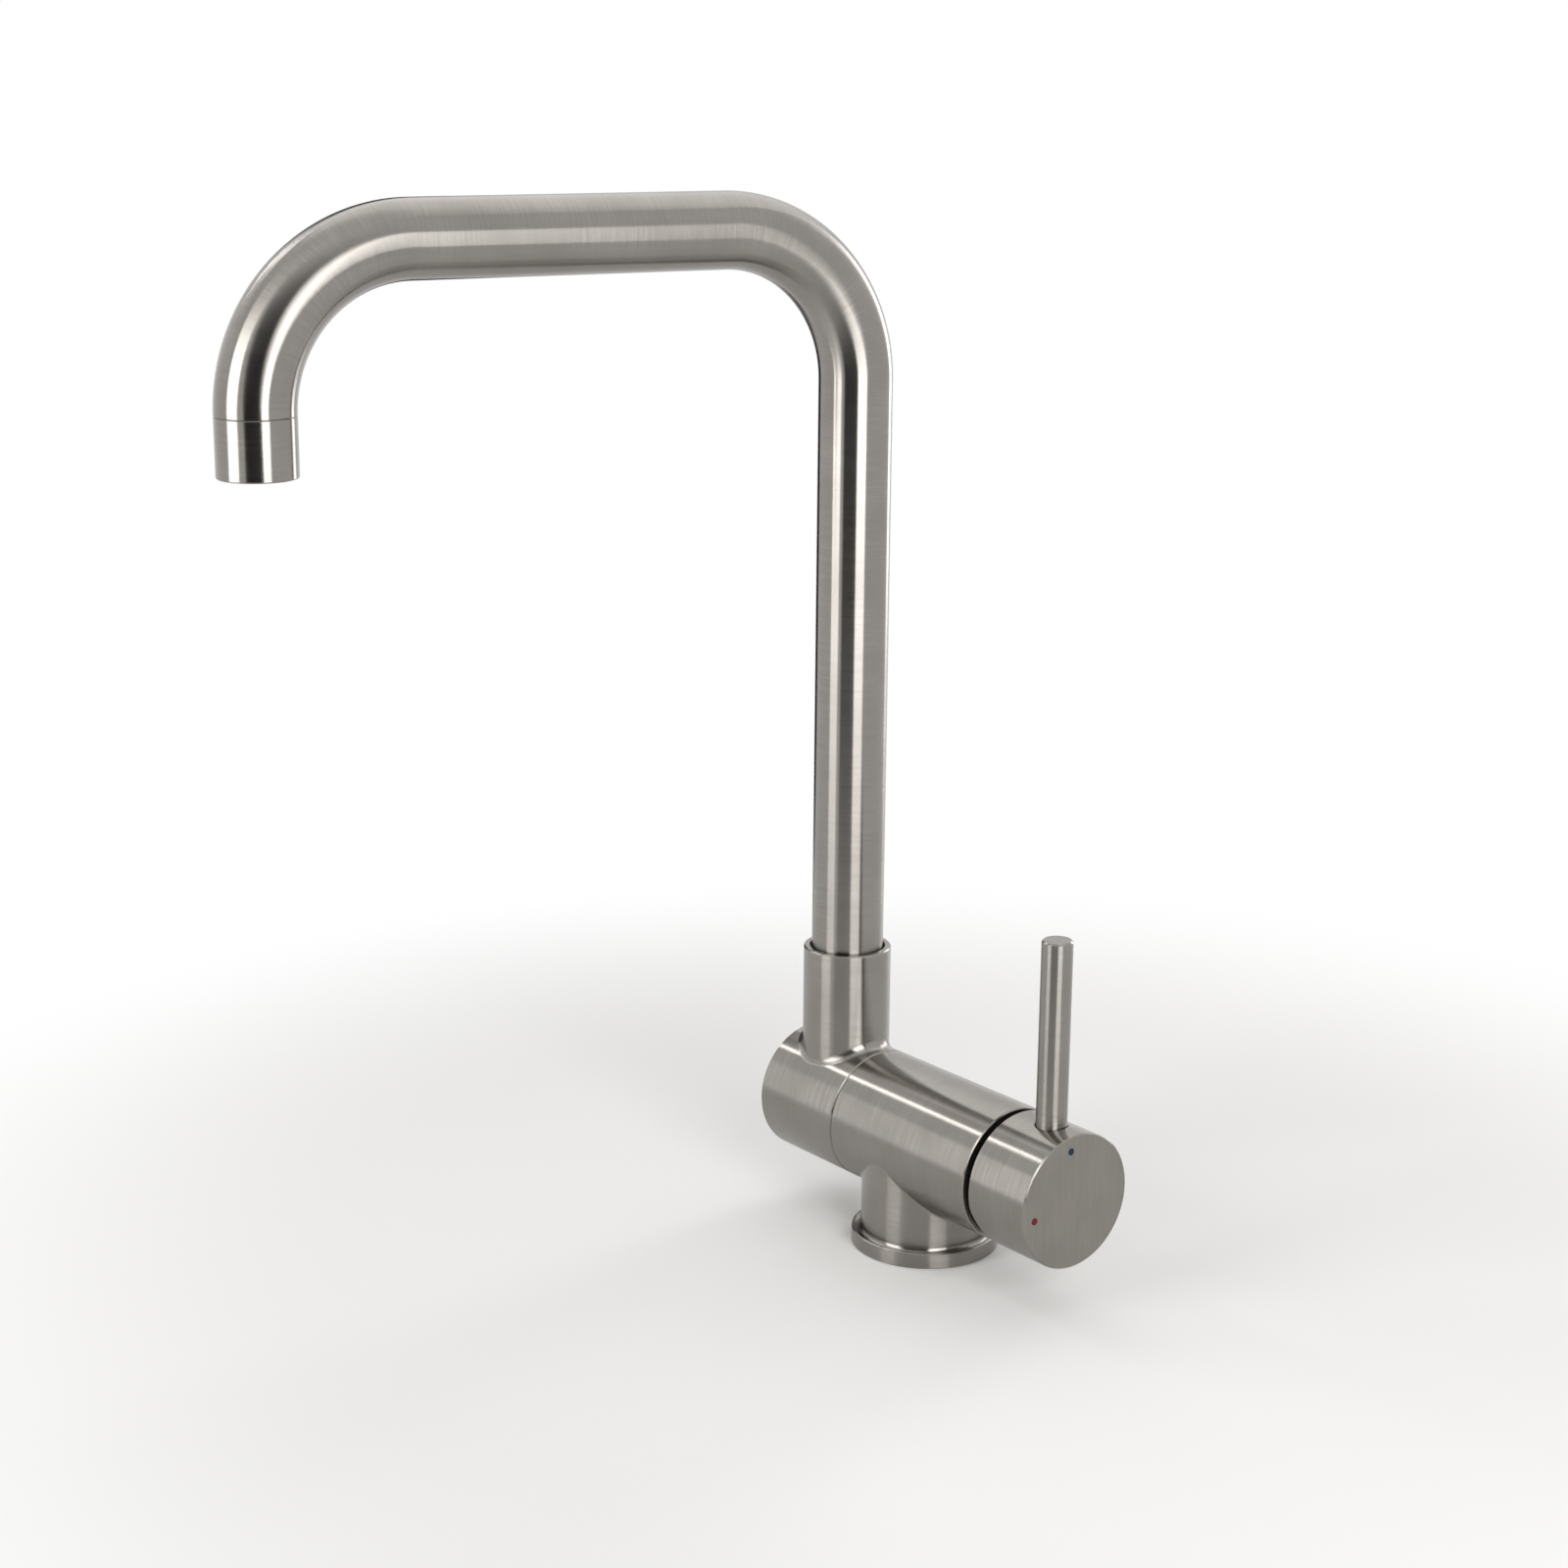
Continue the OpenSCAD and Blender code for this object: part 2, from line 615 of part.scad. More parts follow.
// The turned spigot that seals the spout in the knuckle
module spout_spigot() {
    neck_r = neck_d / 2 - run_fit;
    flange_r_out = collar_bore / 2 - still_fit;
    groove_r = tube_d / 2 - 1;
    h = tube_z + spigot_grip - neck_z;
    step = spigot_z - neck_z;
    low = groove_z - groove_w / 2 - neck_z;
    high = groove_z + groove_w / 2 - neck_z;
    top = tube_z - neck_z;
    color(brass) on_spout(neck_z) difference() {
        rotate_extrude()
            polygon([[0, 0], [neck_r - 0.4, 0], [neck_r, 0.4], [neck_r, step], [flange_r_out, step],
                     [flange_r_out, low], [groove_r, low], [groove_r, high], [flange_r_out, high],
                     [flange_r_out, top], [tube_bore / 2 - still_fit, top], [tube_bore / 2 - still_fit, h], [0, h]]);
        translate([0, 0, -over]) cylinder(d = spigot_bore, h = h + 2 * over);
        for (z = neck_o_z) translate([0, 0, z - neck_z - neck_o_w / 2])
            ring(neck_d + 2, neck_d - 2 * neck_o_t - 2 * run_fit, neck_o_w);
    }
}

module spigot_o_rings() {
    color(black) for (z = neck_o_z) on_spout(z) o_ring(neck_d - 2 * run_fit + 0.06, neck_o_t);
}

// The sleeve at the outlet, with the step that holds the aerator
module aerator_sleeve() {
    r = tube_d / 2;
    seat_r = aerator_d / 2 + still_fit;
    grip_r = tube_bore / 2 - still_fit;
    h = sleeve_len;
    color(steel) on_spout(outlet_h) translate([0, -reach, 0]) rotate_extrude()
        polygon([[seat_r, 0], [r - edge, 0], [r, edge], [r, h - 0.25], [r - 0.2, h], [grip_r, h],
                 [grip_r, h + sleeve_grip], [grip_r - 1.3, h + sleeve_grip], [grip_r - 1.3, sleeve_step - outlet_h],
                 [seat_r, sleeve_step - outlet_h]]);
}

module aerator_housing() {
    color(ptfe) on_spout(aerator_z) translate([0, -reach, 0]) difference() {
        bar(aerator_d, aerator_h, 0.5, 0.2);
        translate([0, 0, -over]) cylinder(d = aerator_d - 2 * aerator_wall - 1.2, h = aerator_h);
        translate([0, 0, 1]) cylinder(d = aerator_d - 2 * aerator_wall, h = aerator_h);
        for (a = [0, 90, 180, 270]) rotate([0, 0, a]) translate([aerator_d / 2, 0, -over])
            cylinder(d = 2.4, h = 2 + over);
    }
}

// A round plate with a hexagonal pattern of holes, drawn upright
module sieve(d, t, hole, pitch) {
    n = floor(d / 2 / pitch);
    difference() {
        cylinder(d = d, h = t);
        for (i = [-n:n], j = [-n:n]) {
            x = (i + j / 2) * pitch;
            y = j * pitch * sin(60);
            if (norm([x, y]) < d / 2 - hole) translate([x, y, -over]) cylinder(d = hole, h = t + 2 * over, $fn = 16);
        }
    }
}

module aerator_screen() {
    d = aerator_d - 2 * aerator_wall - 2 * still_fit;
    color(ptfe) on_spout(aerator_z + 1) translate([0, -reach, 0]) sieve(d, 1.2, screen_hole_d, screen_pitch);
}

module aerator_diffuser() {
    d = aerator_d - 2 * aerator_wall - 2 * still_fit;
    color(ptfe) on_spout(aerator_z + 2.2) translate([0, -reach, 0]) {
        ring(d, d - 2.4, 4.6);
        translate([0, 0, 4.6]) sieve(d, 1.6, 1.2, 3.6);
    }
}

module aerator_gasket() {
    color(black) on_spout(gasket_z) translate([0, -reach, 0])
        ring(aerator_d, aerator_d - 2 * aerator_wall, aerator_gasket_t);
}

// Draws its children at each water port of the cartridge
module at_ports(x) for (p = [cold_port, hot_port, mixed_port]) translate([x, p[0], axis_h + p[1]]) rotate([0, 90, 0])
    children();

module cartridge_base() {
    color(black) difference() {
        union() {
            on_barrel(seat_x) cylinder(d = cart_d, h = base_t);
            base_lugs(seat_x - 2, 0, 2);
        }
        at_ports(seat_x - over) cylinder(d = port_bore, h = base_t + 2 * over);
        at_ports(seat_x - over) cylinder(d = port_bore + 3.2, h = 1.5 + over);
    }
}

module cartridge_seals() color(black) at_ports(seat_x) ring(port_bore + 3, port_bore + 0.2, 1.5);

module fixed_disc() {
    color(ceramic) difference() {
        on_barrel(fixed_x) cylinder(d = fixed_disc_d, h = disc_t);
        at_ports(fixed_x - over) cylinder(d = port_bore, h = disc_t + 2 * over);
    }
}

// The moving disc, with the chamber that joins the ports when the lever opens
module moving_disc() {
    chamber_r = 6.6;
    color(ceramic) on_barrel(moving_x) difference() {
        cylinder(d = moving_disc_d, h = disc_t);
        translate([2.6, 0, -over]) cylinder(r = chamber_r, h = 1.8 + over);
    }
}

// The carrier between the stem's ball and the moving disc, with a tongue in the rotor's slot
module disc_carrier() {
    color(black) on_barrel(carrier_x) difference() {
        union() {
            cylinder(d = moving_disc_d, h = carrier_t);
            translate([-4.6, -stem_w / 2, carrier_t]) cube([9.2, stem_w, tongue_t]);
        }
        translate([0, 0, -over]) cylinder(d = ball_d + 0.3, h = carrier_t + tongue_t + 2 * over);
    }
}

module cartridge_housing() {
    inner = cart_d - 2 * housing_wall;
    color(black) on_barrel(fixed_x) difference() {
        union() {
            cylinder(d = cart_d, h = housing_x - fixed_x);
            cylinder(d = rotor_d + 4, h = neck_x - fixed_x);
        }
        translate([0, 0, -over]) cylinder(d = inner, h = shoulder_x - fixed_x + over);
        cylinder(d = rotor_d + 2 * run_fit, h = neck_x - fixed_x + over);
    }
}

// The slotted nut that presses the cartridge onto its seat
module cartridge_nut() {
    color(brass) on_barrel(housing_x) difference() {
        ring(cart_nut_d, rotor_d + 4 + 2 * still_fit, cart_nut_len);
        for (a = [0:60:300]) rotate([0, 0, a]) translate([rotor_d / 2 + 1.5, -1.6, cart_nut_len - 2.4])
            cube([4, 3.2, 3]);
    }
}

// The black ring that fills the barrel's mouth behind the handle cap
module dust_ring() {
    color(black) on_barrel(dust_x) rotate_extrude()
        polygon([[rotor_d / 2 + 2 + still_fit, 0], [dust_d / 2, 0], [dust_d / 2, dust_front - dust_x],
                 [dust_d / 2 - 2.4, dust_front - dust_x], [dust_d / 2 - 4, dust_front - dust_x - 0.8],
                 [rotor_d / 2 + 2 + still_fit, dust_front - dust_x - 0.8]]);
}

// The rotor that the lever turns, slotted for the stem and the carrier's tongue
module cartridge_rotor() {
    slot_l = 15;
    slot_w = stem_w + 0.3;
    color(ptfe) difference() {
        on_barrel(rotor_x) {
            cylinder(d = cart_d - 2 * housing_wall - 2 * run_fit, h = rotor_t);
            cylinder(d = rotor_d, h = rotor_front - rotor_x);
        }
        translate([rotor_x - over, -slot_w / 2, axis_h - slot_l / 2])
            cube([rotor_front - rotor_x + 2 * over, slot_w, slot_l]);
        translate([pivot_x, 0, axis_h]) rotate([90, 0, 0]) cylinder(d = pivot_pin_d, h = rotor_d + 2, center = true);
    }
}

module stem_pivot_pin() {
    color(dark_steel) translate([pivot_x, 0, axis_h]) rotate([90, 0, 0])
        cylinder(d = pivot_pin_d, h = rotor_d - 1.2, center = true);
}

// The lever stem: a square end in the handle cap, a pivot and a ball in the carrier
module lever_stem() {
    color(dark_steel) difference() {
        union() {
            translate([pivot_x - 5, -stem_w / 2, axis_h - stem_w / 2]) cube([stem_end - pivot_x + 5, stem_w, stem_w]);
            on_barrel(ball_x) cylinder(d = stem_arm_d, h = pivot_x - 4.5 - ball_x);
            translate([ball_x, 0, axis_h]) sphere(d = ball_d);
        }
        translate([pivot_x, 0, axis_h]) rotate([90, 0, 0])
            cylinder(d = pivot_pin_d + 2 * run_fit, h = stem_w + 2, center = true);
    }
}

// A pocket or disc at the place of a mark on the handle's face
module at_mark(turn, deep) {
    translate([face_x - deep, -mark_r * sin(turn), axis_h + mark_r * cos(turn)]) rotate([0, 90, 0]) children();
}

// The handle cap, hollow at its rear, with its rear edge bevelled below so that it can tilt
module handle_cap() {
    lever_seat = body_r - lever_sink;
    sock = stem_w + 0.1;
    color(steel) difference() {
        on_barrel(cap_x) bar(body_d, cap_len, 0.3, edge);
        on_barrel(cap_x - over) cylinder(d = body_d - 2 * cap_wall, h = cap_hollow + over);
        translate([cap_x, 0, axis_h - bevel_start]) rotate([0, -tilt_angle, 0])
            translate([-body_d, -body_d, -2 * body_d]) cube([body_d, 2 * body_d, 2 * body_d]);
        translate([web_x - over, -sock / 2, axis_h - sock / 2]) cube([stem_end - web_x + over + 0.2, sock, sock]);
        translate([lever_x, 0, axis_h]) cylinder(d = lever_thread_d + 2 * still_fit, h = body_r);
        translate([lever_x, 0, axis_h + lever_seat]) cylinder(d = lever_d + 2 * lever_gap, h = body_r);
        translate([lever_x, 0, axis_h - body_r - over]) cylinder(d = grub_d + 2 * still_fit, h = body_r + over);
        for (a = [mark_turn, mark_turn + 90]) at_mark(a, 0.4) cylinder(d = mark_d + 0.1, h = 1);
    }
}

// The lever, with its threaded end in the cap above the stem
module lever() {
    low = stem_w / 2 + 0.3;
    seat = body_r - lever_sink;
    top = lever_top - axis_h;
    r = lever_d / 2;
    t = lever_thread_d / 2;
    color(steel) translate([lever_x, 0, axis_h]) rotate_extrude()
        polygon([[0, low], [t - 0.5, low], [t, low + 0.5], [t, seat], [r, seat], [r, top - 0.6], [r - 0.6, top], [0, top]]);
}

module handle_grub_screw() {
    color(dark_steel) translate([lever_x, 0, axis_h - stem_w / 2 - grub_len]) difference() {
        cylinder(d = grub_d, h = grub_len);
        translate([0, 0, -over]) cylinder(d = grub_d / 2, h = 2.5 + over, $fn = 6);
    }
}

module cold_mark() color(blue) at_mark(mark_turn, 0.4) cylinder(d = mark_d, h = mark_t);
module hot_mark() color(red) at_mark(mark_turn + 90, 0.4) cylinder(d = mark_d, h = mark_t);

tap_body();
base_flange();
base_gasket();
mounting_shank();
rubber_washer();
steel_washer();
lock_nut();
hinge_axle();
axle_o_rings();
seam_washer();
thrust_washer();
spring_washer();
axle_nut();
fold_stop_pin();
knuckle();
knuckle_end_cap();
spout_seat_ring();
spout_guide_bush();
spout_retaining_screw();
spout_tube();
spout_spigot();
spigot_o_rings();
aerator_sleeve();
aerator_housing();
aerator_diffuser();
aerator_screen();
aerator_gasket();
cartridge_base();
cartridge_seals();
fixed_disc();
cartridge_housing();
cartridge_nut();
dust_ring();
cartridge_rotor();
stem_pivot_pin();
moving_disc();
disc_carrier();
lever_stem();
handle_cap();
lever();
handle_grub_screw();
cold_mark();
hot_mark();
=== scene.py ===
# %% [markdown]
# # A folding mixer tap in brushed stainless steel
# The tap's solids are already modelled and jointed, and this script gives them their looks. It
# loads them as a fixed frame, adds the few surfaces that the solids leave plain, gives every piece
# a material worked out from what the real one is, and sets up a plain studio. All lengths are in
# metres, so the small helper mm() lets the numbers be written as a workshop drawing has them.

# %% Load the frame
import json

import bpy
import numpy as np
from mathutils import Matrix


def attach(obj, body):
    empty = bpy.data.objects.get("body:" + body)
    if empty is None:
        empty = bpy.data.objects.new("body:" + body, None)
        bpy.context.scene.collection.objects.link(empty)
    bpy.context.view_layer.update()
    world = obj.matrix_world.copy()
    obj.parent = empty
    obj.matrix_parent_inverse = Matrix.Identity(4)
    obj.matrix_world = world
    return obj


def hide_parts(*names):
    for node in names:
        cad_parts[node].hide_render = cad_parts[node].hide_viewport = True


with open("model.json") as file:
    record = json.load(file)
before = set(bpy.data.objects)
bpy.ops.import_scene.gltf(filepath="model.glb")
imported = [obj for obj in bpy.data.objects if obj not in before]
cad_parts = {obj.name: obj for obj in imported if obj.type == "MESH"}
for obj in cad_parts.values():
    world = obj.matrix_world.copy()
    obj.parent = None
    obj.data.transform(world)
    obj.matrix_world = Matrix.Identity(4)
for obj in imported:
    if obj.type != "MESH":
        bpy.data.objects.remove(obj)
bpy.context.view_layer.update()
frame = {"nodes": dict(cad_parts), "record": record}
nodes = frame["nodes"]


def mm(value):
    """Millimetres as metres, for one number or a whole list."""
    return np.asarray(value, float) / 1000


# %% [markdown]
# ## The camera
# A camera placed by eye never quite lines up. This one was solved from the edges of the tap in the
# picture, so its place, its turn and its lens are numbers. Blender wants them as a matrix whose
# columns are the camera's right, up and backward directions, which is clearer here than angles.

# %% Turn the camera's numbers into directions
CAMERA_PLACE = mm([690.564, -609.986, 401.813])
CAMERA_AZIMUTH, CAMERA_ELEVATION, CAMERA_ROLL = np.radians([51.674, 14.537, 0.498])
SENSOR_MM = 36.0
FOCAL_PIXELS, PICTURE_PIXELS = 2905.7, 1600
LENS_MM = FOCAL_PIXELS / PICTURE_PIXELS * SENSOR_MM


def direction(azimuth, elevation):
    """The unit vector from the tap towards something at these angles, in radians.
    Azimuth 0 is towards -Y and 90 degrees is towards +X."""
    level = np.cos(elevation)
    return np.array([np.sin(azimuth) * level, -np.cos(azimuth) * level, np.sin(elevation)])


backward = direction(CAMERA_AZIMUTH, CAMERA_ELEVATION)
level_right = np.array([np.cos(CAMERA_AZIMUTH), np.sin(CAMERA_AZIMUTH), 0])
level_up = np.cross(backward, level_right)
right = np.cos(CAMERA_ROLL) * level_right + np.sin(CAMERA_ROLL) * level_up
up = np.cos(CAMERA_ROLL) * level_up - np.sin(CAMERA_ROLL) * level_right
print("camera looks along", np.round(-backward, 3), "with a lens of", round(LENS_MM, 2), "mm")

# %% Place the camera
CLIP_START = 0.01
camera_matrix = np.eye(4)
camera_matrix[:3, :] = np.column_stack([right, up, backward, CAMERA_PLACE])
camera_data = bpy.data.cameras.new("camera")
camera_data.sensor_width = SENSOR_MM
camera_data.lens = LENS_MM
camera_data.clip_start = CLIP_START
camera = bpy.data.objects.new("camera", camera_data)
camera.matrix_world = Matrix(camera_matrix.tolist())
bpy.context.scene.collection.objects.link(camera)
bpy.context.scene.camera = camera
print("camera stands", round(float(np.linalg.norm(CAMERA_PLACE)), 3), "m from the tap's foot")

# %% [markdown]
# ## Surfaces from whole arrays
# Every new piece here is a grid of points that a formula gives all at once. Row by row the grid is
# joined into four-sided faces. A grid that is closed both ways is a ring, such as the wall of a
# tube whose outside runs on over its end into its bore, so it has no open edge and no loose pole.
# The same grid gives a UV map measured in metres, which lets a pattern follow the surface.

# %% Join a closed grid into faces that point outwards
def ring_faces(rows, columns):
    """Faces of a grid that wraps both ways, with corners (i, j), (i+1, j), (i+1, j+1), (i, j+1)."""
    i, j = np.meshgrid(np.arange(rows), np.arange(columns), indexing="ij")
    i_next, j_next = (i + 1) % rows, (j + 1) % columns
    corners = [i * columns + j, i_next * columns + j, i_next * columns + j_next, i * columns + j_next]
    return np.stack(corners, -1).reshape(-1, 4)


def outward_order(points, faces):
    """The order of the four corners that makes faces point outwards. The sum of a . (b x c) over
    all triangles a, b, c is six times the volume, and is negative when they point inwards."""
    a, b, c, d = np.moveaxis(points.reshape(-1, 3)[faces], 1, 0)
    volume = np.einsum("ni,ni->", a, np.cross(b, c) + np.cross(c, d))
    return [0, 1, 2, 3] if volume > 0 else [3, 2, 1, 0]


# %% Turn a closed grid into a mesh
SHARP_ANGLE = np.radians(30)


def ring_uv(along, around, rows, columns):
    """The UV place of each corner in metres: first along the piece, then round it."""
    i, j = np.meshgrid(np.arange(rows), np.arange(columns), indexing="ij")
    here, ahead = along[i], along[np.minimum(i + 1, rows - 1)]
    u = np.stack([here, ahead, ahead, here], -1)
    v = np.stack([around[j], around[j], around[j + 1], around[j + 1]], -1)
    return np.stack([u, v], -1).reshape(-1, 4, 2)


def ring_mesh(name, points, along, around):
    """A closed surface from points[i, j], where i and j both wrap round to the start.
    along[i] and around[j] are lengths in metres for the UV map."""
    rows, columns, _ = points.shape
    faces = ring_faces(rows, columns)
    order = outward_order(points, faces)
    uv = ring_uv(along, around, rows, columns)[:, order]
    mesh = bpy.data.meshes.new(name)
    mesh.from_pydata(points.reshape(-1, 3), [], faces[:, order].tolist())
    mesh.uv_layers.new(name="surface").data.foreach_set("uv", uv.ravel().astype(np.float32))
    mesh.polygons.foreach_set("use_smooth", np.ones(len(faces), bool))
    mesh.set_sharp_from_angle(angle=SHARP_ANGLE)
    mesh.update()
    piece = bpy.data.objects.new(name, mesh)
    bpy.context.scene.collection.objects.link(piece)
    print(f"{name}: {len(faces)} faces")
    return piece


# %% [markdown]
# ## The spout tube
# The real spout is one length of 25 mm tube, bent twice on a mandrel and then brushed round and
# round. The solid has the right shape, but a pattern on plain coordinates would run straight
# through the bends. So the tube is swept again here: a circle is carried along the centre line,
# and the length travelled becomes one side of the UV map. The brushing then turns with the bends.

# %% Lay out the spout's course
AXIS_HEIGHT = mm(38.8)
SPOUT_X = mm(-44.4)
BEND_RADIUS, ARM_HEIGHT, REACH = mm(50.4), mm(344.3), mm(210.0)
TUBE_BOTTOM, TUBE_END = mm(79.3), mm(293.6)
BEND_STEPS = 48


def spout_course():
    """Centre points and turns of the spout's course, in its own plane. The first bend is the quarter
    circle (-R cos a, R sin a) about its centre, the second is (R sin a, R cos a) about its own, and
    the rest is straight."""
    a = np.linspace(0, np.pi / 2, BEND_STEPS)
    bend_z = ARM_HEIGHT - BEND_RADIUS
    first_out, last_out = BEND_RADIUS * (1 - np.cos(a)), REACH - BEND_RADIUS * (1 - np.sin(a))
    first_up, last_up = bend_z + BEND_RADIUS * np.sin(a), bend_z + BEND_RADIUS * np.cos(a)
    out = np.concatenate([[0], first_out, last_out, [REACH]])
    height = np.concatenate([[TUBE_BOTTOM], first_up, last_up, [TUBE_END]])
    turn = np.concatenate([[0], a, np.pi / 2 + a, [np.pi]])
    return out, height, turn


out, height, turn = spout_course()
travelled = np.concatenate([[0], np.cumsum(np.hypot(np.diff(out), np.diff(height)))])
print("spout tube length:", round(float(travelled[-1]), 4), "m")

# %% Carry circles along the course
TUBE_RADIUS, TUBE_BORE = mm(12.5), mm(11.3)
END_CHAMFER = mm(0.25)
SPOUT_TURN = np.radians(-8)
AROUND_STEPS = 128


def swept_wall(out, height, turn, radius):
    """Circles of the given radius square to the course: centre + r (cos t * across + sin t * side)."""
    t = np.linspace(0, 2 * np.pi, AROUND_STEPS, endpoint=False)[None, :]
    out_t = out[:, None] - radius * np.cos(turn)[:, None] * np.cos(t)
    height_t = height[:, None] + radius * np.sin(turn)[:, None] * np.cos(t)
    side_t = radius * np.sin(t) + 0 * out_t
    forward = np.array([np.sin(SPOUT_TURN), -np.cos(SPOUT_TURN)])
    side = np.array([np.cos(SPOUT_TURN), np.sin(SPOUT_TURN)])
    x = SPOUT_X + out_t * forward[0] + side_t * side[0]
    y = out_t * forward[1] + side_t * side[1]
    return np.stack([x, y, height_t], -1)


outer = swept_wall(out, height, turn, TUBE_RADIUS)
chamfer_start = outer[-1:] + [0, 0, END_CHAMFER]
lip = swept_wall(out[-1:], height[-1:], turn[-1:], TUBE_RADIUS - END_CHAMFER)
inner = swept_wall(out, height, turn, TUBE_BORE)[::-1]
tube_points = np.concatenate([outer[:-1], chamfer_start, lip, inner])
print("tube grid:", tube_points.shape[0], "by", tube_points.shape[1], "points")

# %% Make the spout tube
tube_along = np.concatenate([travelled, travelled[-1:], travelled[::-1]])
tube_around = TUBE_RADIUS * np.linspace(0, 2 * np.pi, AROUND_STEPS + 1)
spout_tube = ring_mesh("brushed_spout_tube", tube_points, tube_along, tube_around)
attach(spout_tube, "spout")
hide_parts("spout_tube")

# %% [markdown]
# ## The fillet at the collar's foot
# Where the collar grows out of the knuckle, the real casting has a small smooth blend. A Bevel
# modifier would need a joined mesh. A ball rolled along the corner is simpler: its centre stays
# one ball radius outside both cylinders, so its path has a plain formula, and the arc between its
# two touching points is the fillet.

# %% The path of a ball along two crossing cylinders
FILLET_STEPS = 240
BARREL_RADIUS = mm(23.0)


def ball_path(post_radius, ball):
    """The ball's centre, and where it touches the upright post and the barrel along X.
    Centre: ((a + r) cos t, (a + r) sin t, root((R + r)^2 - (a + r)^2 sin^2 t)) from where the axes
    cross, with a, R and r the radii of post, barrel and ball."""
    t = np.linspace(0, 2 * np.pi, FILLET_STEPS, endpoint=False)
    far = post_radius + ball
    rise = np.sqrt((BARREL_RADIUS + ball) ** 2 - (far * np.sin(t)) ** 2)
    centre = np.stack([far * np.cos(t), far * np.sin(t), rise], -1)
    to_post = post_radius / far
    to_barrel = BARREL_RADIUS / (BARREL_RADIUS + ball)
    on_post = centre * np.stack([to_post, to_post, 1 + 0 * t], -1)
    on_barrel = centre * np.stack([1 + 0 * t, to_barrel, to_barrel], -1)
    return centre, on_post, on_barrel


# %% Roll the collar's fillet
FILLET_ARC = 10
ROOT_DEPTH = mm(0.3)
COLLAR_RADIUS, COLLAR_BALL = mm(15.3), mm(3.0)


def rolled_fillet(name, centre_x, post_radius, ball, upward):
    """The fillet that a ball leaves between post and barrel: the arc from its first to its last
    touching point, as (sin((1 - s) A) first + sin(s A) last) / sin A for s from 0 to 1. The ball's
    radius may change slowly round the joint. The closing row runs just under the corner."""
    ball = ball + np.zeros(FILLET_STEPS)
    centre, on_post, on_barrel = ball_path(post_radius, ball)
    first = (on_post - centre) / ball[:, None]
    last = (on_barrel - centre) / ball[:, None]
    angle = np.arccos(np.clip((first * last).sum(-1), -1, 1))[:, None]
    s = np.linspace(0, 1, FILLET_ARC)[:, None, None]
    arc = (np.sin((1 - s) * angle) * first + np.sin(s * angle) * last) / np.sin(angle)
    bisector = (first + last) / np.linalg.norm(first + last, axis=-1, keepdims=True)
    root = centre + (ball[:, None] / np.cos(angle / 2) + ROOT_DEPTH) * bisector
    points = np.concatenate([centre + ball[:, None] * arc, root[None]])
    points = points * [1, 1, 1 if upward else -1] + [centre_x, 0, AXIS_HEIGHT]
    along = np.linspace(0, float(ball.mean()) * np.pi / 2, len(points))
    around = post_radius * np.linspace(0, 2 * np.pi, FILLET_STEPS + 1)
    return ring_mesh(name, points, along, around)


collar_fillet = rolled_fillet("collar_fillet", SPOUT_X, COLLAR_RADIUS, COLLAR_BALL, True)
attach(collar_fillet, "knuckle")

# %% [markdown]
# ## The bead under the barrel
# Where the pillar meets the barrel the casting is ground by hand, so the blend there is narrow and
# its edge wanders a little. The same rolling ball makes it: its radius is given three slow waves
# round the joint, and that is enough for the thin line of light to waver as on the real tap.

# %% Roll the wavering bead
PILLAR_RADIUS = mm(22.2)
BEAD_BALL, BEAD_WAVER = mm(1.3), mm(0.22)
WAVES_ROUND = np.array([7, 17, 29])[:, None]
WAVE_STARTS = np.array([0.0, 1.1, 2.3])[:, None]
WAVE_HEIGHTS = np.array([1.0, 1.0, 0.8])[:, None]

bead_turn = np.linspace(0, 2 * np.pi, FILLET_STEPS, endpoint=False)[None, :]
waver = (WAVE_HEIGHTS * np.sin(WAVES_ROUND * bead_turn + WAVE_STARTS)).sum(0) / WAVE_HEIGHTS.sum()
bead_ball = BEAD_BALL + BEAD_WAVER * waver
pillar_bead = rolled_fillet("pillar_bead", 0.0, PILLAR_RADIUS, bead_ball, False)
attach(pillar_bead, "body")

# %% [markdown]
# ## The threaded shank
# Below the worktop the tap is held by a hollow shank with a fine thread and a large nut. A thread
# can be cut with a Screw modifier, but it is just a cylinder whose radius depends on height and
# angle together: going once round lifts the groove by one pitch. One formula gives every turn.

# %% Work out the thread's radius everywhere
SHANK_RADIUS, SHANK_BORE = mm(16.0), mm(13.2)
SHANK_BOTTOM, SHANK_TOP, THREAD_TOP = mm(-48.0), mm(12.0), mm(-1.0)
THREAD_PITCH, THREAD_DEPTH = mm(1.5), mm(0.8)
THREAD_RUN_OUT, THREAD_LEAD_IN = mm(1.5), mm(1.0)
THREAD_STEPS, THREAD_AROUND = 8, 96


def thread_radius(z, turn):
    """Radius at height z and angle turn: R - max(depth * groove * run-out, lead-in), where groove
    is a triangle wave of z / pitch - turn / 2 pi. The groove fades out at its upper end, and the
    lead-in bevels the lower one."""
    phase = (z / THREAD_PITCH - turn / (2 * np.pi)) % 1
    groove = 1 - np.abs(2 * phase - 1)
    run_out = np.clip((THREAD_TOP - z) / THREAD_RUN_OUT, 0, 1)
    lead_in = np.clip(1 - (z - SHANK_BOTTOM) / THREAD_LEAD_IN, 0, 1) * THREAD_LEAD_IN
    return SHANK_RADIUS - np.maximum(THREAD_DEPTH * groove * run_out, lead_in)


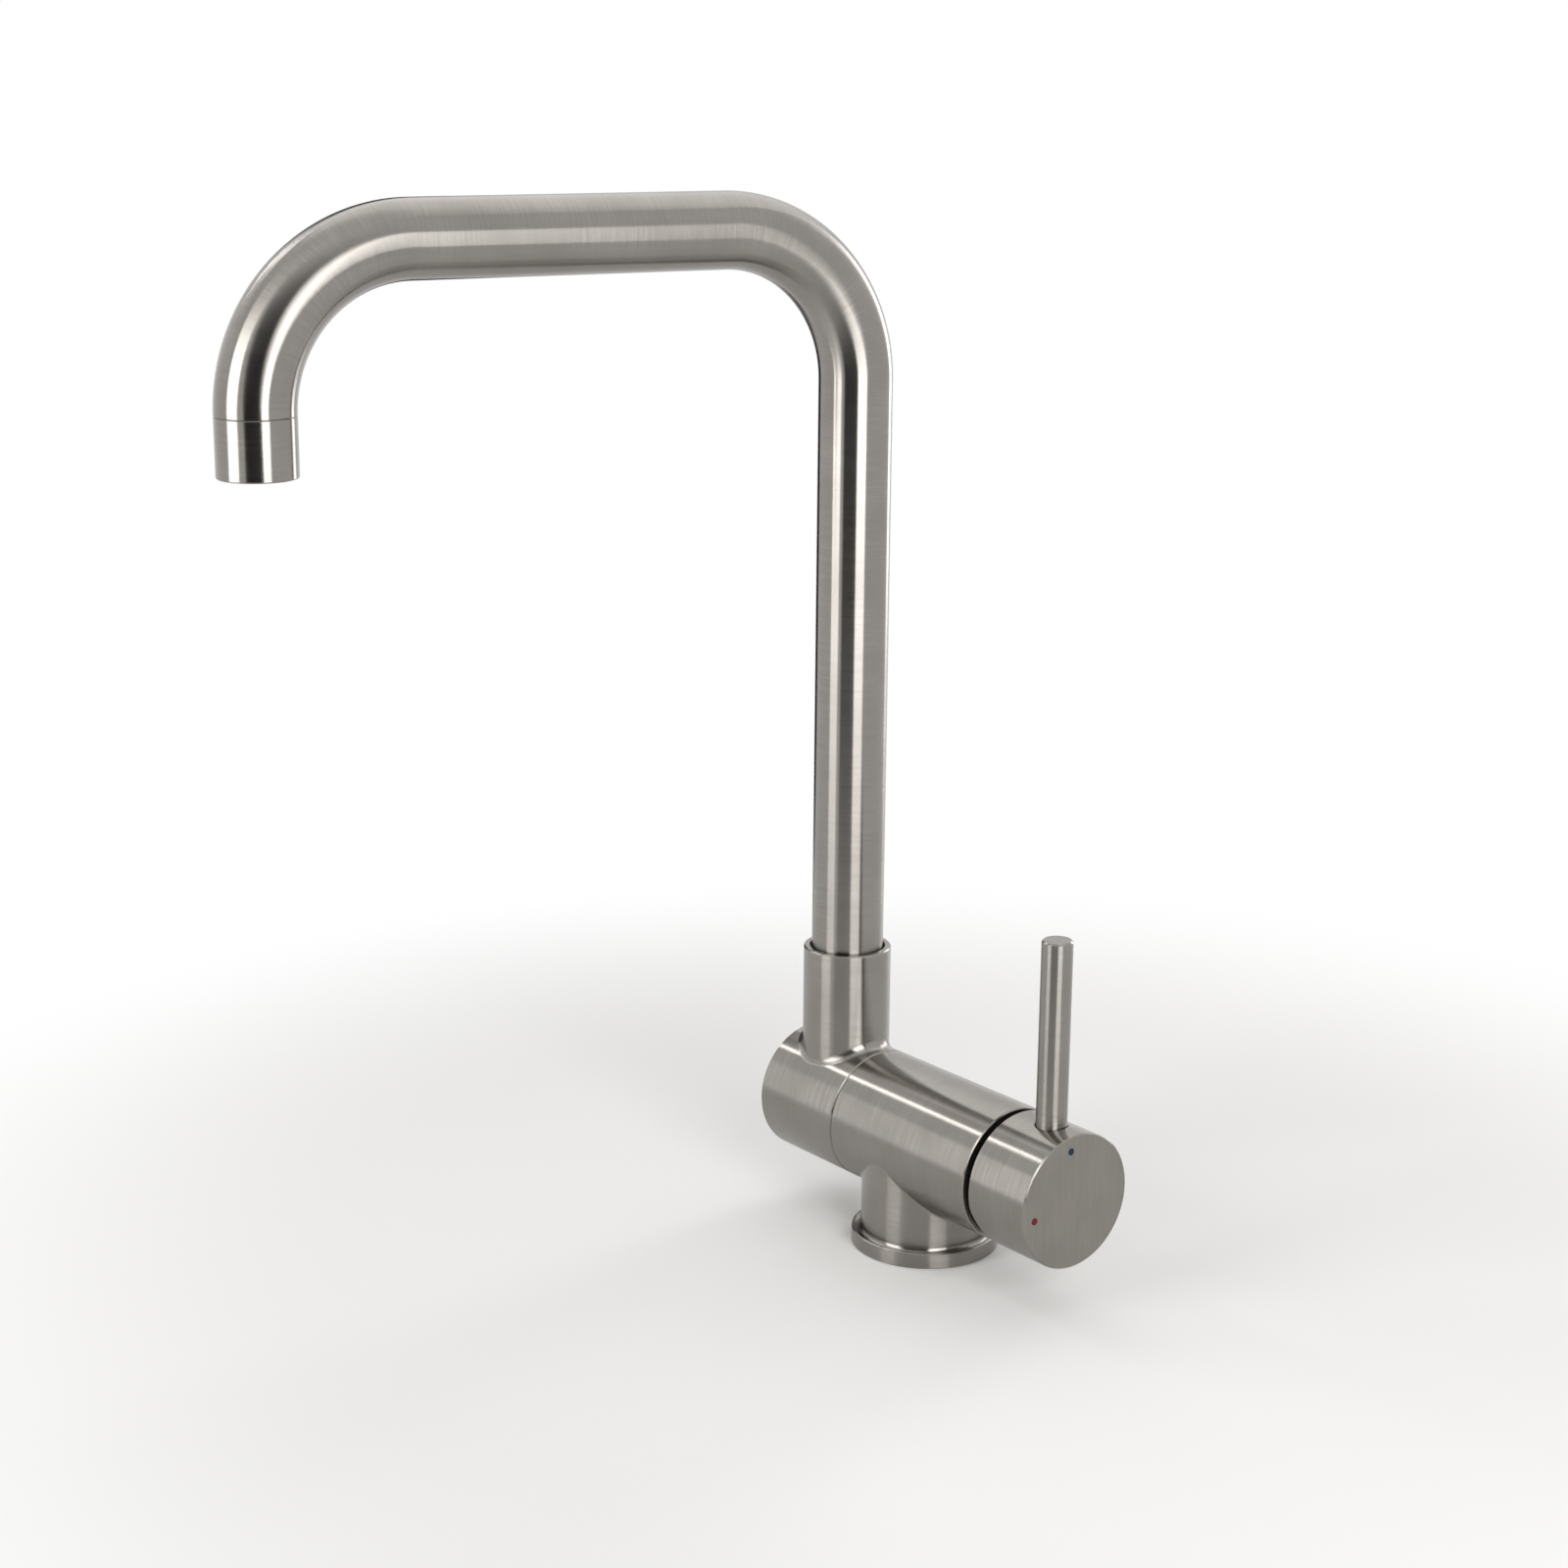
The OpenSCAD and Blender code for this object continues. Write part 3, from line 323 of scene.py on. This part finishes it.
shank_z = np.arange(SHANK_BOTTOM, THREAD_TOP, THREAD_PITCH / THREAD_STEPS)
shank_z = np.append(shank_z, [THREAD_TOP, SHANK_TOP])
shank_turn = np.linspace(0, 2 * np.pi, THREAD_AROUND, endpoint=False)
outer_r = thread_radius(shank_z[:, None], shank_turn[None, :])
print("thread turns:", round(float((THREAD_TOP - SHANK_BOTTOM) / THREAD_PITCH), 1))

# %% Make the threaded shank
shank_r = np.concatenate([outer_r, np.full((2, THREAD_AROUND), SHANK_BORE)])
shank_z = np.append(shank_z, [SHANK_TOP, SHANK_BOTTOM])
shank_x = shank_r * np.cos(shank_turn)
shank_y = shank_r * np.sin(shank_turn)
shank_points = np.stack([shank_x, shank_y, shank_z[:, None] + 0 * shank_r], -1)
shank_around = SHANK_RADIUS * np.linspace(0, 2 * np.pi, THREAD_AROUND + 1)
shank = ring_mesh("threaded_shank", shank_points, shank_z - SHANK_BOTTOM, shank_around)
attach(shank, "body")
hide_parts("mounting_shank")

# %% [markdown]
# ## Building materials
# A material is a small network of nodes. Written out by hand the wiring hides the idea, so one
# function adds a node, sets what it is given and links what is already a socket. Colours are
# written as the screen shows them and turned to linear light by another.

# %% Three helpers for every material
def linear(code):
    """A colour such as "#8C8378" as linear light, with full opacity."""
    value = np.array([int(code[k:k + 2], 16) for k in (1, 3, 5)]) / 255
    value = np.where(value <= 0.04045, value / 12.92, ((value + 0.055) / 1.055) ** 2.4)
    return (*value.tolist(), 1.0)


def add_node(tree, kind, inputs=None, **settings):
    """A new node with its settings. A value in inputs is linked if it is a socket, and set if not."""
    node = tree.nodes.new("ShaderNode" + kind)
    for key, value in settings.items():
        setattr(node, key, value)
    for key, value in (inputs or {}).items():
        if isinstance(value, bpy.types.NodeSocket):
            tree.links.new(value, node.inputs[key])
        else:
            node.inputs[key].default_value = value
    return node


def new_material(name):
    """An empty material and its node tree."""
    material = bpy.data.materials.new(name)
    material.use_nodes = True
    material.node_tree.nodes.clear()
    return material, material.node_tree


# %% [markdown]
# ## Brushed stainless steel
# The tap is 304 stainless steel, turned and then brushed with fine abrasive, which leaves thin
# scratches all the way round each cylinder. Light spreads across the scratches and stays sharp
# along them. So a round bar shows crisp bands side by side, each of them smeared along the bar.
# In Blender that is the shader's anisotropy, and its tangent is the direction in which the light
# spreads: square to the scratches and lying in the surface, which is their cross product with the
# normal. Real scratches are about 0.05 mm apart. That is too fine for the picture, so a faint
# pattern of them is drawn 0.6 mm apart, and only in the colour, the roughness and a low bump.

# %% The scratch pattern
SCRATCH_SPACING, SCRATCH_LENGTH, SCRATCH_HEIGHT = mm(0.6), mm(16.0), mm(0.002)
fast, slow = float(1 / SCRATCH_SPACING), float(1 / SCRATCH_LENGTH)


def scratches(tree, vector, scale):
    """Noise in [0, 1] that runs in lines: scale is high across them and low along them."""
    stretched = add_node(tree, "Mapping", {"Vector": vector, "Scale": scale}, vector_type="POINT")
    noise = add_node(tree, "TexNoise", {"Vector": stretched.outputs[0], "Scale": 1.0, "Detail": 3.0,
                                        "Roughness": 0.6})
    return noise.outputs["Fac"]


print("scratches per metre:", round(fast), "across and", round(slow), "along")

# %% The steel itself
STEEL_LIGHT, STEEL_DARK = linear("#938F8A"), linear("#88847F")
STEEL_SMOOTH, STEEL_ROUGH = 0.215, 0.245
STEEL_SPREAD = 1.0
CLOUD_SIZE = mm(18.0)
BUMP_STRENGTH = 0.3
SHADE_RANGE = {"From Min": 0.12, "From Max": 0.40}
LINE_RANGE = {"From Min": 0.3, "From Max": 0.7}


def steel_surface(tree, lines, spread, place):
    """The shader of the steel, from its scratch pattern and the direction across the scratches."""
    cloud = add_node(tree, "TexNoise", {"Vector": place, "Scale": float(1 / CLOUD_SIZE), "Detail": 2.0})
    shade = add_node(tree, "Math", {0: lines, 1: cloud.outputs["Fac"]}, operation="MULTIPLY").outputs[0]
    tint = add_node(tree, "MapRange", {"Value": shade, **SHADE_RANGE}).outputs[0]
    colour = add_node(tree, "Mix", {"Factor": tint, "A": STEEL_DARK, "B": STEEL_LIGHT}, data_type="RGBA")
    rough = add_node(tree, "MapRange", {"Value": lines, **LINE_RANGE, "To Min": STEEL_SMOOTH,
                                        "To Max": STEEL_ROUGH})
    bump = add_node(tree, "Bump", {"Height": lines, "Strength": BUMP_STRENGTH,
                                   "Distance": float(SCRATCH_HEIGHT)})
    shader = add_node(tree, "BsdfPrincipled", {"Base Color": colour.outputs["Result"], "Metallic": 1.0,
                                               "Roughness": rough.outputs[0], "Normal": bump.outputs[0],
                                               "Anisotropic": STEEL_SPREAD, "Tangent": spread})
    add_node(tree, "OutputMaterial", {"Surface": shader.outputs[0]})


# %% [markdown]
# ## Where the scratches run
# The barrel lies along X and is brushed round X. The upright parts are brushed round their own
# upright axis. Both are one casting, so the material tells them apart: a point farther from the
# barrel's axis than its surface belongs to the upright part. Flat ends are brushed in straight
# lines. A point's place and the surface's normal are enough to know all of that, so the pieces
# need no UV map for it.

# %% Find the course of the brushing at a point
SURFACE_MARGIN = mm(0.05)
ON_BARREL = float(BARREL_RADIUS + SURFACE_MARGIN)
UPRIGHT = (0.0, 0.0, 1.0)


def round_the_barrel(tree, place):
    """The direction round the barrel's axis at a place: (0, h - z, y), with h the axis height."""
    split = add_node(tree, "SeparateXYZ", {"Vector": place}).outputs
    over = add_node(tree, "Math", {0: split["Z"], 1: float(AXIS_HEIGHT)}, operation="SUBTRACT").outputs[0]
    under = add_node(tree, "Math", {0: over, 1: -1.0}, operation="MULTIPLY").outputs[0]
    return add_node(tree, "CombineXYZ", {"X": 0.0, "Y": under, "Z": split["Y"]}).outputs[0]


def round_a_post(tree, place, centre):
    """The direction round an upright axis at centre: up x (place - centre)."""
    middle = (*centre, 0.0)
    away = add_node(tree, "VectorMath", {0: place, 1: middle}, operation="SUBTRACT").outputs[0]
    return add_node(tree, "VectorMath", {0: UPRIGHT, 1: away}, operation="CROSS_PRODUCT").outputs[0]


def beyond_barrel(tree, round_barrel):
    """1 where a point lies beyond the barrel's surface, and 0 elsewhere. The vector round the axis
    is as long as the point is far from the axis."""
    distance = add_node(tree, "VectorMath", {0: round_barrel}, operation="LENGTH").outputs["Value"]
    return add_node(tree, "Math", {0: distance, 1: ON_BARREL}, operation="GREATER_THAN").outputs[0]


# %% Tell the flat ends apart
FLAT_END = 0.9


def is_flat_end(tree, normal):
    """1 where the surface faces along X, and 0 elsewhere. The barrel's two ends do, and so does a
    strip down each side of an upright part, so the upright parts have to be mixed in after it."""
    facing = add_node(tree, "SeparateXYZ", {"Vector": normal}).outputs["X"]
    facing = add_node(tree, "Math", {0: facing}, operation="ABSOLUTE").outputs[0]
    return add_node(tree, "Math", {0: facing, 1: FLAT_END}, operation="GREATER_THAN").outputs[0]


# %% Brushing on the cast parts
def brushed_steel(name, centre):
    """Steel brushed round the barrel, and beyond its surface round an upright axis at centre."""
    material, tree = new_material(name)
    coordinates = add_node(tree, "TexCoord").outputs
    place, normal = coordinates["Object"], coordinates["Normal"]
    round_barrel, round_post = round_the_barrel(tree, place), round_a_post(tree, place, centre)
    beyond, flat = beyond_barrel(tree, round_barrel), is_flat_end(tree, normal)
    course = add_node(tree, "Mix", {"Factor": flat, "A": round_barrel, "B": UPRIGHT},
                      data_type="VECTOR").outputs["Result"]
    course = add_node(tree, "Mix", {"Factor": beyond, "A": course, "B": round_post},
                      data_type="VECTOR").outputs["Result"]
    across = add_node(tree, "VectorMath", {0: course, 1: normal}, operation="CROSS_PRODUCT").outputs[0]
    spread = add_node(tree, "VectorTransform", {"Vector": across}, vector_type="VECTOR",
                      convert_from="OBJECT", convert_to="WORLD").outputs[0]
    on_barrel = scratches(tree, place, (fast, slow, slow))
    on_end = scratches(tree, place, (slow, fast, slow))
    on_post = scratches(tree, place, (slow, slow, fast))
    lines = add_node(tree, "Mix", {"Factor": flat, "A": on_barrel, "B": on_end}).outputs["Result"]
    lines = add_node(tree, "Mix", {"Factor": beyond, "A": lines, "B": on_post}).outputs["Result"]
    steel_surface(tree, lines, spread, place)
    return material


LEVER_X = mm(61.2)
SPOUT_CENTRE = (float(SPOUT_X), 0.0)
LEVER_CENTRE = (float(LEVER_X), 0.0)
OUTLET_CENTRE = (float(SPOUT_X + REACH * np.sin(SPOUT_TURN)), float(-REACH * np.cos(SPOUT_TURN)))
steel_body = brushed_steel("brushed 304 stainless, barrel and pillar", (0.0, 0.0))
steel_knuckle = brushed_steel("brushed 304 stainless, knuckle and collar", SPOUT_CENTRE)
steel_handle = brushed_steel("brushed 304 stainless, handle and lever", LEVER_CENTRE)
steel_outlet = brushed_steel("brushed 304 stainless, outlet sleeve", OUTLET_CENTRE)
print("four steels brushed round their own axes")

# %% [markdown]
# ## Brushing on the bent tube
# The tube's axis turns twice, so no single axis will do. It was swept with a UV map in metres, and
# Blender's Tangent node gives the direction of that map's first side, which is along the tube. The
# light spreads along it, and the scratches run round on the same map, through both bends.

# %% Brushing on a swept piece
def swept_steel(name):
    """Brushing round a swept piece, on its own UV map in metres: length along it, then round it."""
    material, tree = new_material(name)
    surface = add_node(tree, "UVMap", uv_map="surface").outputs[0]
    spread = add_node(tree, "Tangent", direction_type="UV_MAP", uv_map="surface").outputs[0]
    place = add_node(tree, "TexCoord").outputs["Object"]
    steel_surface(tree, scratches(tree, surface, (fast, slow, 1.0)), spread, place)
    return material


steel_tube = swept_steel("brushed 304 stainless, bent tube")
print("one steel brushed round the bends")

# %% [markdown]
# ## The other materials
# Inside the tap are turned brass, plain steel, moulded plastics, rubber and fired ceramic, and on
# the handle two enamel dots. Turned brass has a warm shine and machined steel a cooler, duller one.
# Moulded rubber is black and matt, moulded plastic has a soft shine, and lapped ceramic is the
# smoothest. Stove enamel is smooth and deep in colour. They share one recipe: a base colour that
# drifts a little, a roughness that drifts with it, and a fine bump. Only the numbers differ. The
# real grains are finer and are drawn 0.4 to 0.9 mm wide, so that they show.

# %% One recipe for the plainer materials
GRAIN_STRENGTH = 0.5


def grained(name, light, dark, grain_mm, height_mm, smooth, rough, metallic=0.0, specular=0.5):
    """A material whose colour, roughness and bump follow noise of one grain size."""
    material, tree = new_material(name)
    place = add_node(tree, "TexCoord").outputs["Object"]
    grain = add_node(tree, "TexNoise", {"Vector": place, "Scale": float(1 / mm(grain_mm)), "Detail": 3.0})
    grain = grain.outputs["Fac"]
    colour = add_node(tree, "Mix", {"Factor": grain, "A": linear(dark), "B": linear(light)},
                      data_type="RGBA")
    roughness = add_node(tree, "MapRange", {"Value": grain, "To Min": smooth, "To Max": rough}).outputs[0]
    bump = add_node(tree, "Bump", {"Height": grain, "Strength": GRAIN_STRENGTH,
                                   "Distance": float(mm(height_mm))})
    shader = add_node(tree, "BsdfPrincipled", {"Base Color": colour.outputs["Result"], "Metallic": metallic,
                                               "Roughness": roughness, "Specular IOR Level": specular,
                                               "Normal": bump.outputs[0]})
    add_node(tree, "OutputMaterial", {"Surface": shader.outputs[0]})
    return material


# %% Mix the metals of the inside
dark_steel = grained("machined carbon steel", "#9A958F", "#76716B", 0.8, 0.01, 0.28, 0.42, metallic=1.0)
brass = grained("turned brass CW617N", "#D9B56B", "#BF9850", 0.9, 0.01, 0.20, 0.34, metallic=1.0)
print("two plain metals")

# %% Mix rubber, plastics, ceramic and enamel
black_rubber = grained("moulded EPDM rubber", "#26262A", "#17171A", 0.7, 0.02, 0.62, 0.80)
black_plastic = grained("moulded black POM", "#141415", "#0C0C0D", 0.8, 0.015, 0.48, 0.60)
white_plastic = grained("moulded white POM", "#EFEEEA", "#E2E1DC", 0.8, 0.015, 0.35, 0.48)
ceramic = grained("lapped alumina ceramic", "#F2F0E8", "#E6E3DA", 0.5, 0.002, 0.10, 0.18)
blue_enamel = grained("blue stove enamel", "#142F49", "#0F2438", 0.4, 0.004, 0.34, 0.44, specular=0.15)
red_enamel = grained("red stove enamel", "#6E1B12", "#57140C", 0.4, 0.004, 0.34, 0.44, specular=0.15)
print("six finishes that are no metal")

# %% [markdown]
# ## Dressing the pieces
# Each solid of the frame says which finish it has, in a slot that its record names. The brushed
# steel is the exception: its pieces need the material that knows their own axis. The new pieces
# are dressed one by one at the end. Giving a piece a material replaces what its slots held before.

# %% Say which piece wears what
steels = {
    "tap_body": steel_body,
    "base_flange": steel_body,
    "knuckle": steel_knuckle,
    "knuckle_end_cap": steel_knuckle,
    "handle_cap": steel_handle,
    "lever": steel_handle,
    "aerator_sleeve": steel_outlet,
    "spout_tube": steel_outlet,
}
finishes = {
    "dark_steel": dark_steel,
    "brass": brass,
    "black_rubber": black_rubber,
    "black_plastic": black_plastic,
    "white_plastic": white_plastic,
    "ceramic": ceramic,
    "blue_enamel": blue_enamel,
    "red_enamel": red_enamel,
}
slots = {row["node"]: row["material_slot"] for row in frame["record"]["subparts"]}
print(len(steels), "pieces of brushed steel and", len(finishes), "other finishes")

# %% Dress every piece
def dress(piece, material):
    """Gives one piece one material."""
    piece.data.materials.clear()
    piece.data.materials.append(material)


for node_name, node_object in nodes.items():
    dress(node_object, steels.get(node_name) or finishes[slots[node_name]])
dress(spout_tube, steel_tube)
dress(collar_fillet, steel_tube)
dress(pillar_bead, steel_tube)
dress(shank, brass)
print("dressed", len(nodes), "nodes and 4 new pieces")

# %% [markdown]
# ## The floor and the white round it
# Brushed metal shows the room as much as it shows itself. This room is a plain one: pale matt paper
# under the tap, and white all round. A white sweep of paper has no horizon, so away from the tap the
# floor turns to plain white. That white is only for rays that look at the background, which are the
# camera's and those that leave gloss or glass. As a light the room is dimmer, which keeps colours
# near what they are written as, and keeps the tap's shadow on the floor.

# %% Which rays see the background
WHITE = linear("#FFFFFF")


def seen_directly(tree):
    """1 for the rays of the camera, of gloss and of glass, and 0 for rays that only carry light."""
    path = add_node(tree, "LightPath").outputs
    camera_or_gloss = add_node(tree, "Math", {0: path["Is Camera Ray"], 1: path["Is Glossy Ray"]},
                               operation="MAXIMUM").outputs[0]
    return add_node(tree, "Math", {0: camera_or_gloss, 1: path["Is Transmission Ray"]},
                    operation="MAXIMUM").outputs[0]


# %% The paper of the floor
PAPER_NEAR, PAPER_FAR = 0.20, 0.45
paper, paper_tree = new_material("pale matt paper")
matt = add_node(paper_tree, "BsdfDiffuse", {"Color": linear("#F4F3F1")}).outputs[0]
white = add_node(paper_tree, "Emission", {"Color": WHITE, "Strength": 1.0}).outputs[0]
on_floor = add_node(paper_tree, "TexCoord").outputs["Object"]
away = add_node(paper_tree, "VectorMath", {0: on_floor}, operation="LENGTH").outputs["Value"]
fade = add_node(paper_tree, "MapRange", {"Value": away, "From Min": PAPER_NEAR, "From Max": PAPER_FAR},
                interpolation_type="SMOOTHSTEP").outputs[0]
fade = add_node(paper_tree, "Math", {0: fade, 1: seen_directly(paper_tree)},
                operation="MULTIPLY").outputs[0]
paper_mix = add_node(paper_tree, "MixShader", {0: fade, 1: matt, 2: white}).outputs[0]
add_node(paper_tree, "OutputMaterial", {"Surface": paper_mix})
paper.cycles.emission_sampling = "NONE"
print("paper is plain white beyond", PAPER_FAR, "m")

# %% Lay the floor
FLOOR_HALF = 12.0


def stage_sheet(name, corners, material):
    """One flat four-cornered sheet that belongs to the studio and not to the tap."""
    mesh = bpy.data.meshes.new(name)
    mesh.from_pydata(corners, [], [(0, 1, 2, 3)])
    sheet = bpy.data.objects.new(name, mesh)
    bpy.context.scene.collection.objects.link(sheet)
    dress(sheet, material)
    return sheet


floor_corners = [(x * FLOOR_HALF, y * FLOOR_HALF, 0) for x, y in ((-1, -1), (1, -1), (1, 1), (-1, 1))]
stage_sheet("floor", floor_corners, paper)
print("floor laid,", 2 * FLOOR_HALF, "m wide")

# %% Make the world white
AMBIENT = 0.44
world = bpy.data.worlds.new("studio")
bpy.context.scene.world = world
world.use_nodes = True
world.cycles.sampling_method = "NONE"
world_tree = world.node_tree
world_tree.nodes.clear()
strength = add_node(world_tree, "Mix", {"Factor": seen_directly(world_tree), "A": AMBIENT, "B": 1.0})
backdrop = add_node(world_tree, "Background", {"Color": WHITE, "Strength": strength.outputs["Result"]})
add_node(world_tree, "OutputWorld", {"Surface": backdrop.outputs[0]})
bpy.context.scene.view_settings.view_transform = "Standard"
print("white world, light level", AMBIENT)

# %% [markdown]
# ## Softboxes
# In white alone a metal tube has no bands. Two tall softboxes beside the camera give it the two
# bright ones, and a wide one behind and above lights the upper edges and lays the shadow. A narrow
# lamp high on the left draws the line of light along the barrel. It lies parallel to the barrel,
# because a strip at an angle to a brushed bar is smeared into a broad patch. One more softbox
# stands behind, so that the back of the tap has a band too. A lamp's angle is given from the
# camera's own direction, so the bands fall where they do in the picture.

# %% A lamp at an angle from the camera
LAMP_TARGET = np.array([0.0, 0.0, 0.10])
BARREL_DIRECTION = np.array([1.0, 0.0, 0.0])


def lamp_matrix(towards, away, along):
    """The matrix of a lamp that looks at the tap from the direction towards. Its first side follows
    along as far as it can: side = along - (along . towards) towards, scaled to a length of one."""
    side = along - np.dot(along, towards) * towards
    side = side / np.linalg.norm(side)
    matrix = np.eye(4)
    matrix[:3, :] = np.column_stack([side, np.cross(towards, side), towards, towards * away + LAMP_TARGET])
    return Matrix(matrix.tolist())


def soft_lamp(name, turn, elevation, away, size, power, along=None):
    """A rectangular lamp, away metres from the tap, that the camera does not see. Its turn is from
    the camera's own direction and its elevation from level, in degrees. Its first size runs along
    the given direction, or else level."""
    data = bpy.data.lights.new(name, "AREA")
    data.shape = "RECTANGLE"
    data.size, data.size_y = size
    data.energy = power
    towards = direction(CAMERA_AZIMUTH + np.radians(turn), np.radians(elevation))
    level = np.cross([0, 0, 1], towards)
    lamp = bpy.data.objects.new(name, data)
    lamp.matrix_world = lamp_matrix(towards, away, level if along is None else along)
    lamp.visible_camera = False
    bpy.context.scene.collection.objects.link(lamp)
    print(f"{name}: {size[0]} by {size[1]} m, {power} W")


# %% Hang the lamps
soft_lamp("left_softbox", turn=-60, elevation=12, away=0.95, size=(0.42, 0.78), power=4.6)
soft_lamp("right_softbox", turn=20, elevation=12, away=0.95, size=(0.48, 0.78), power=6.6)
soft_lamp("long_lamp", turn=-120, elevation=41, away=1.3, size=(0.50, 0.06), power=1.1,
          along=BARREL_DIRECTION)
soft_lamp("rear_softbox", turn=172, elevation=60, away=1.5, size=(1.8, 1.4), power=6.0)
soft_lamp("back_softbox", turn=138, elevation=14, away=1.1, size=(0.32, 0.80), power=3.0)

# %% [markdown]
# ## Two black cards
# Photographers of metal stand a black card beside the camera, so that a tube gets a dark band next
# to its bright one and looks round. One does it here for the front, and a narrow one behind does
# it for the back. Both lean back a little, and both are hidden from the camera.

# %% The felt on the cards
felt, felt_tree = new_material("black felt on card")
black = add_node(felt_tree, "BsdfDiffuse", {"Color": linear("#1A1A1B")}).outputs[0]
add_node(felt_tree, "OutputMaterial", {"Surface": black})
print("black felt")

# %% Stand the cards
FOOT_AWAY, FOOT_HEIGHT = 0.44, 0.02
TOP_AWAY, TOP_HEIGHT = 0.74, 0.75


def black_card(name, first_turn, last_turn):
    """A card that stands between two angles in degrees from the camera's own direction."""
    sides = np.radians([first_turn, last_turn]) + CAMERA_AZIMUTH
    foot = [direction(side, 0) * FOOT_AWAY + [0, 0, FOOT_HEIGHT] for side in sides]
    top = [direction(side, 0) * TOP_AWAY + [0, 0, TOP_HEIGHT] for side in sides[::-1]]
    card = stage_sheet(name, [corner.tolist() for corner in foot + top], felt)
    card.visible_camera = False
    print(f"{name}: {last_turn - first_turn} degrees wide")


black_card("black_card", first_turn=-40, last_turn=3)
black_card("back_card", first_turn=-158, last_turn=-137)
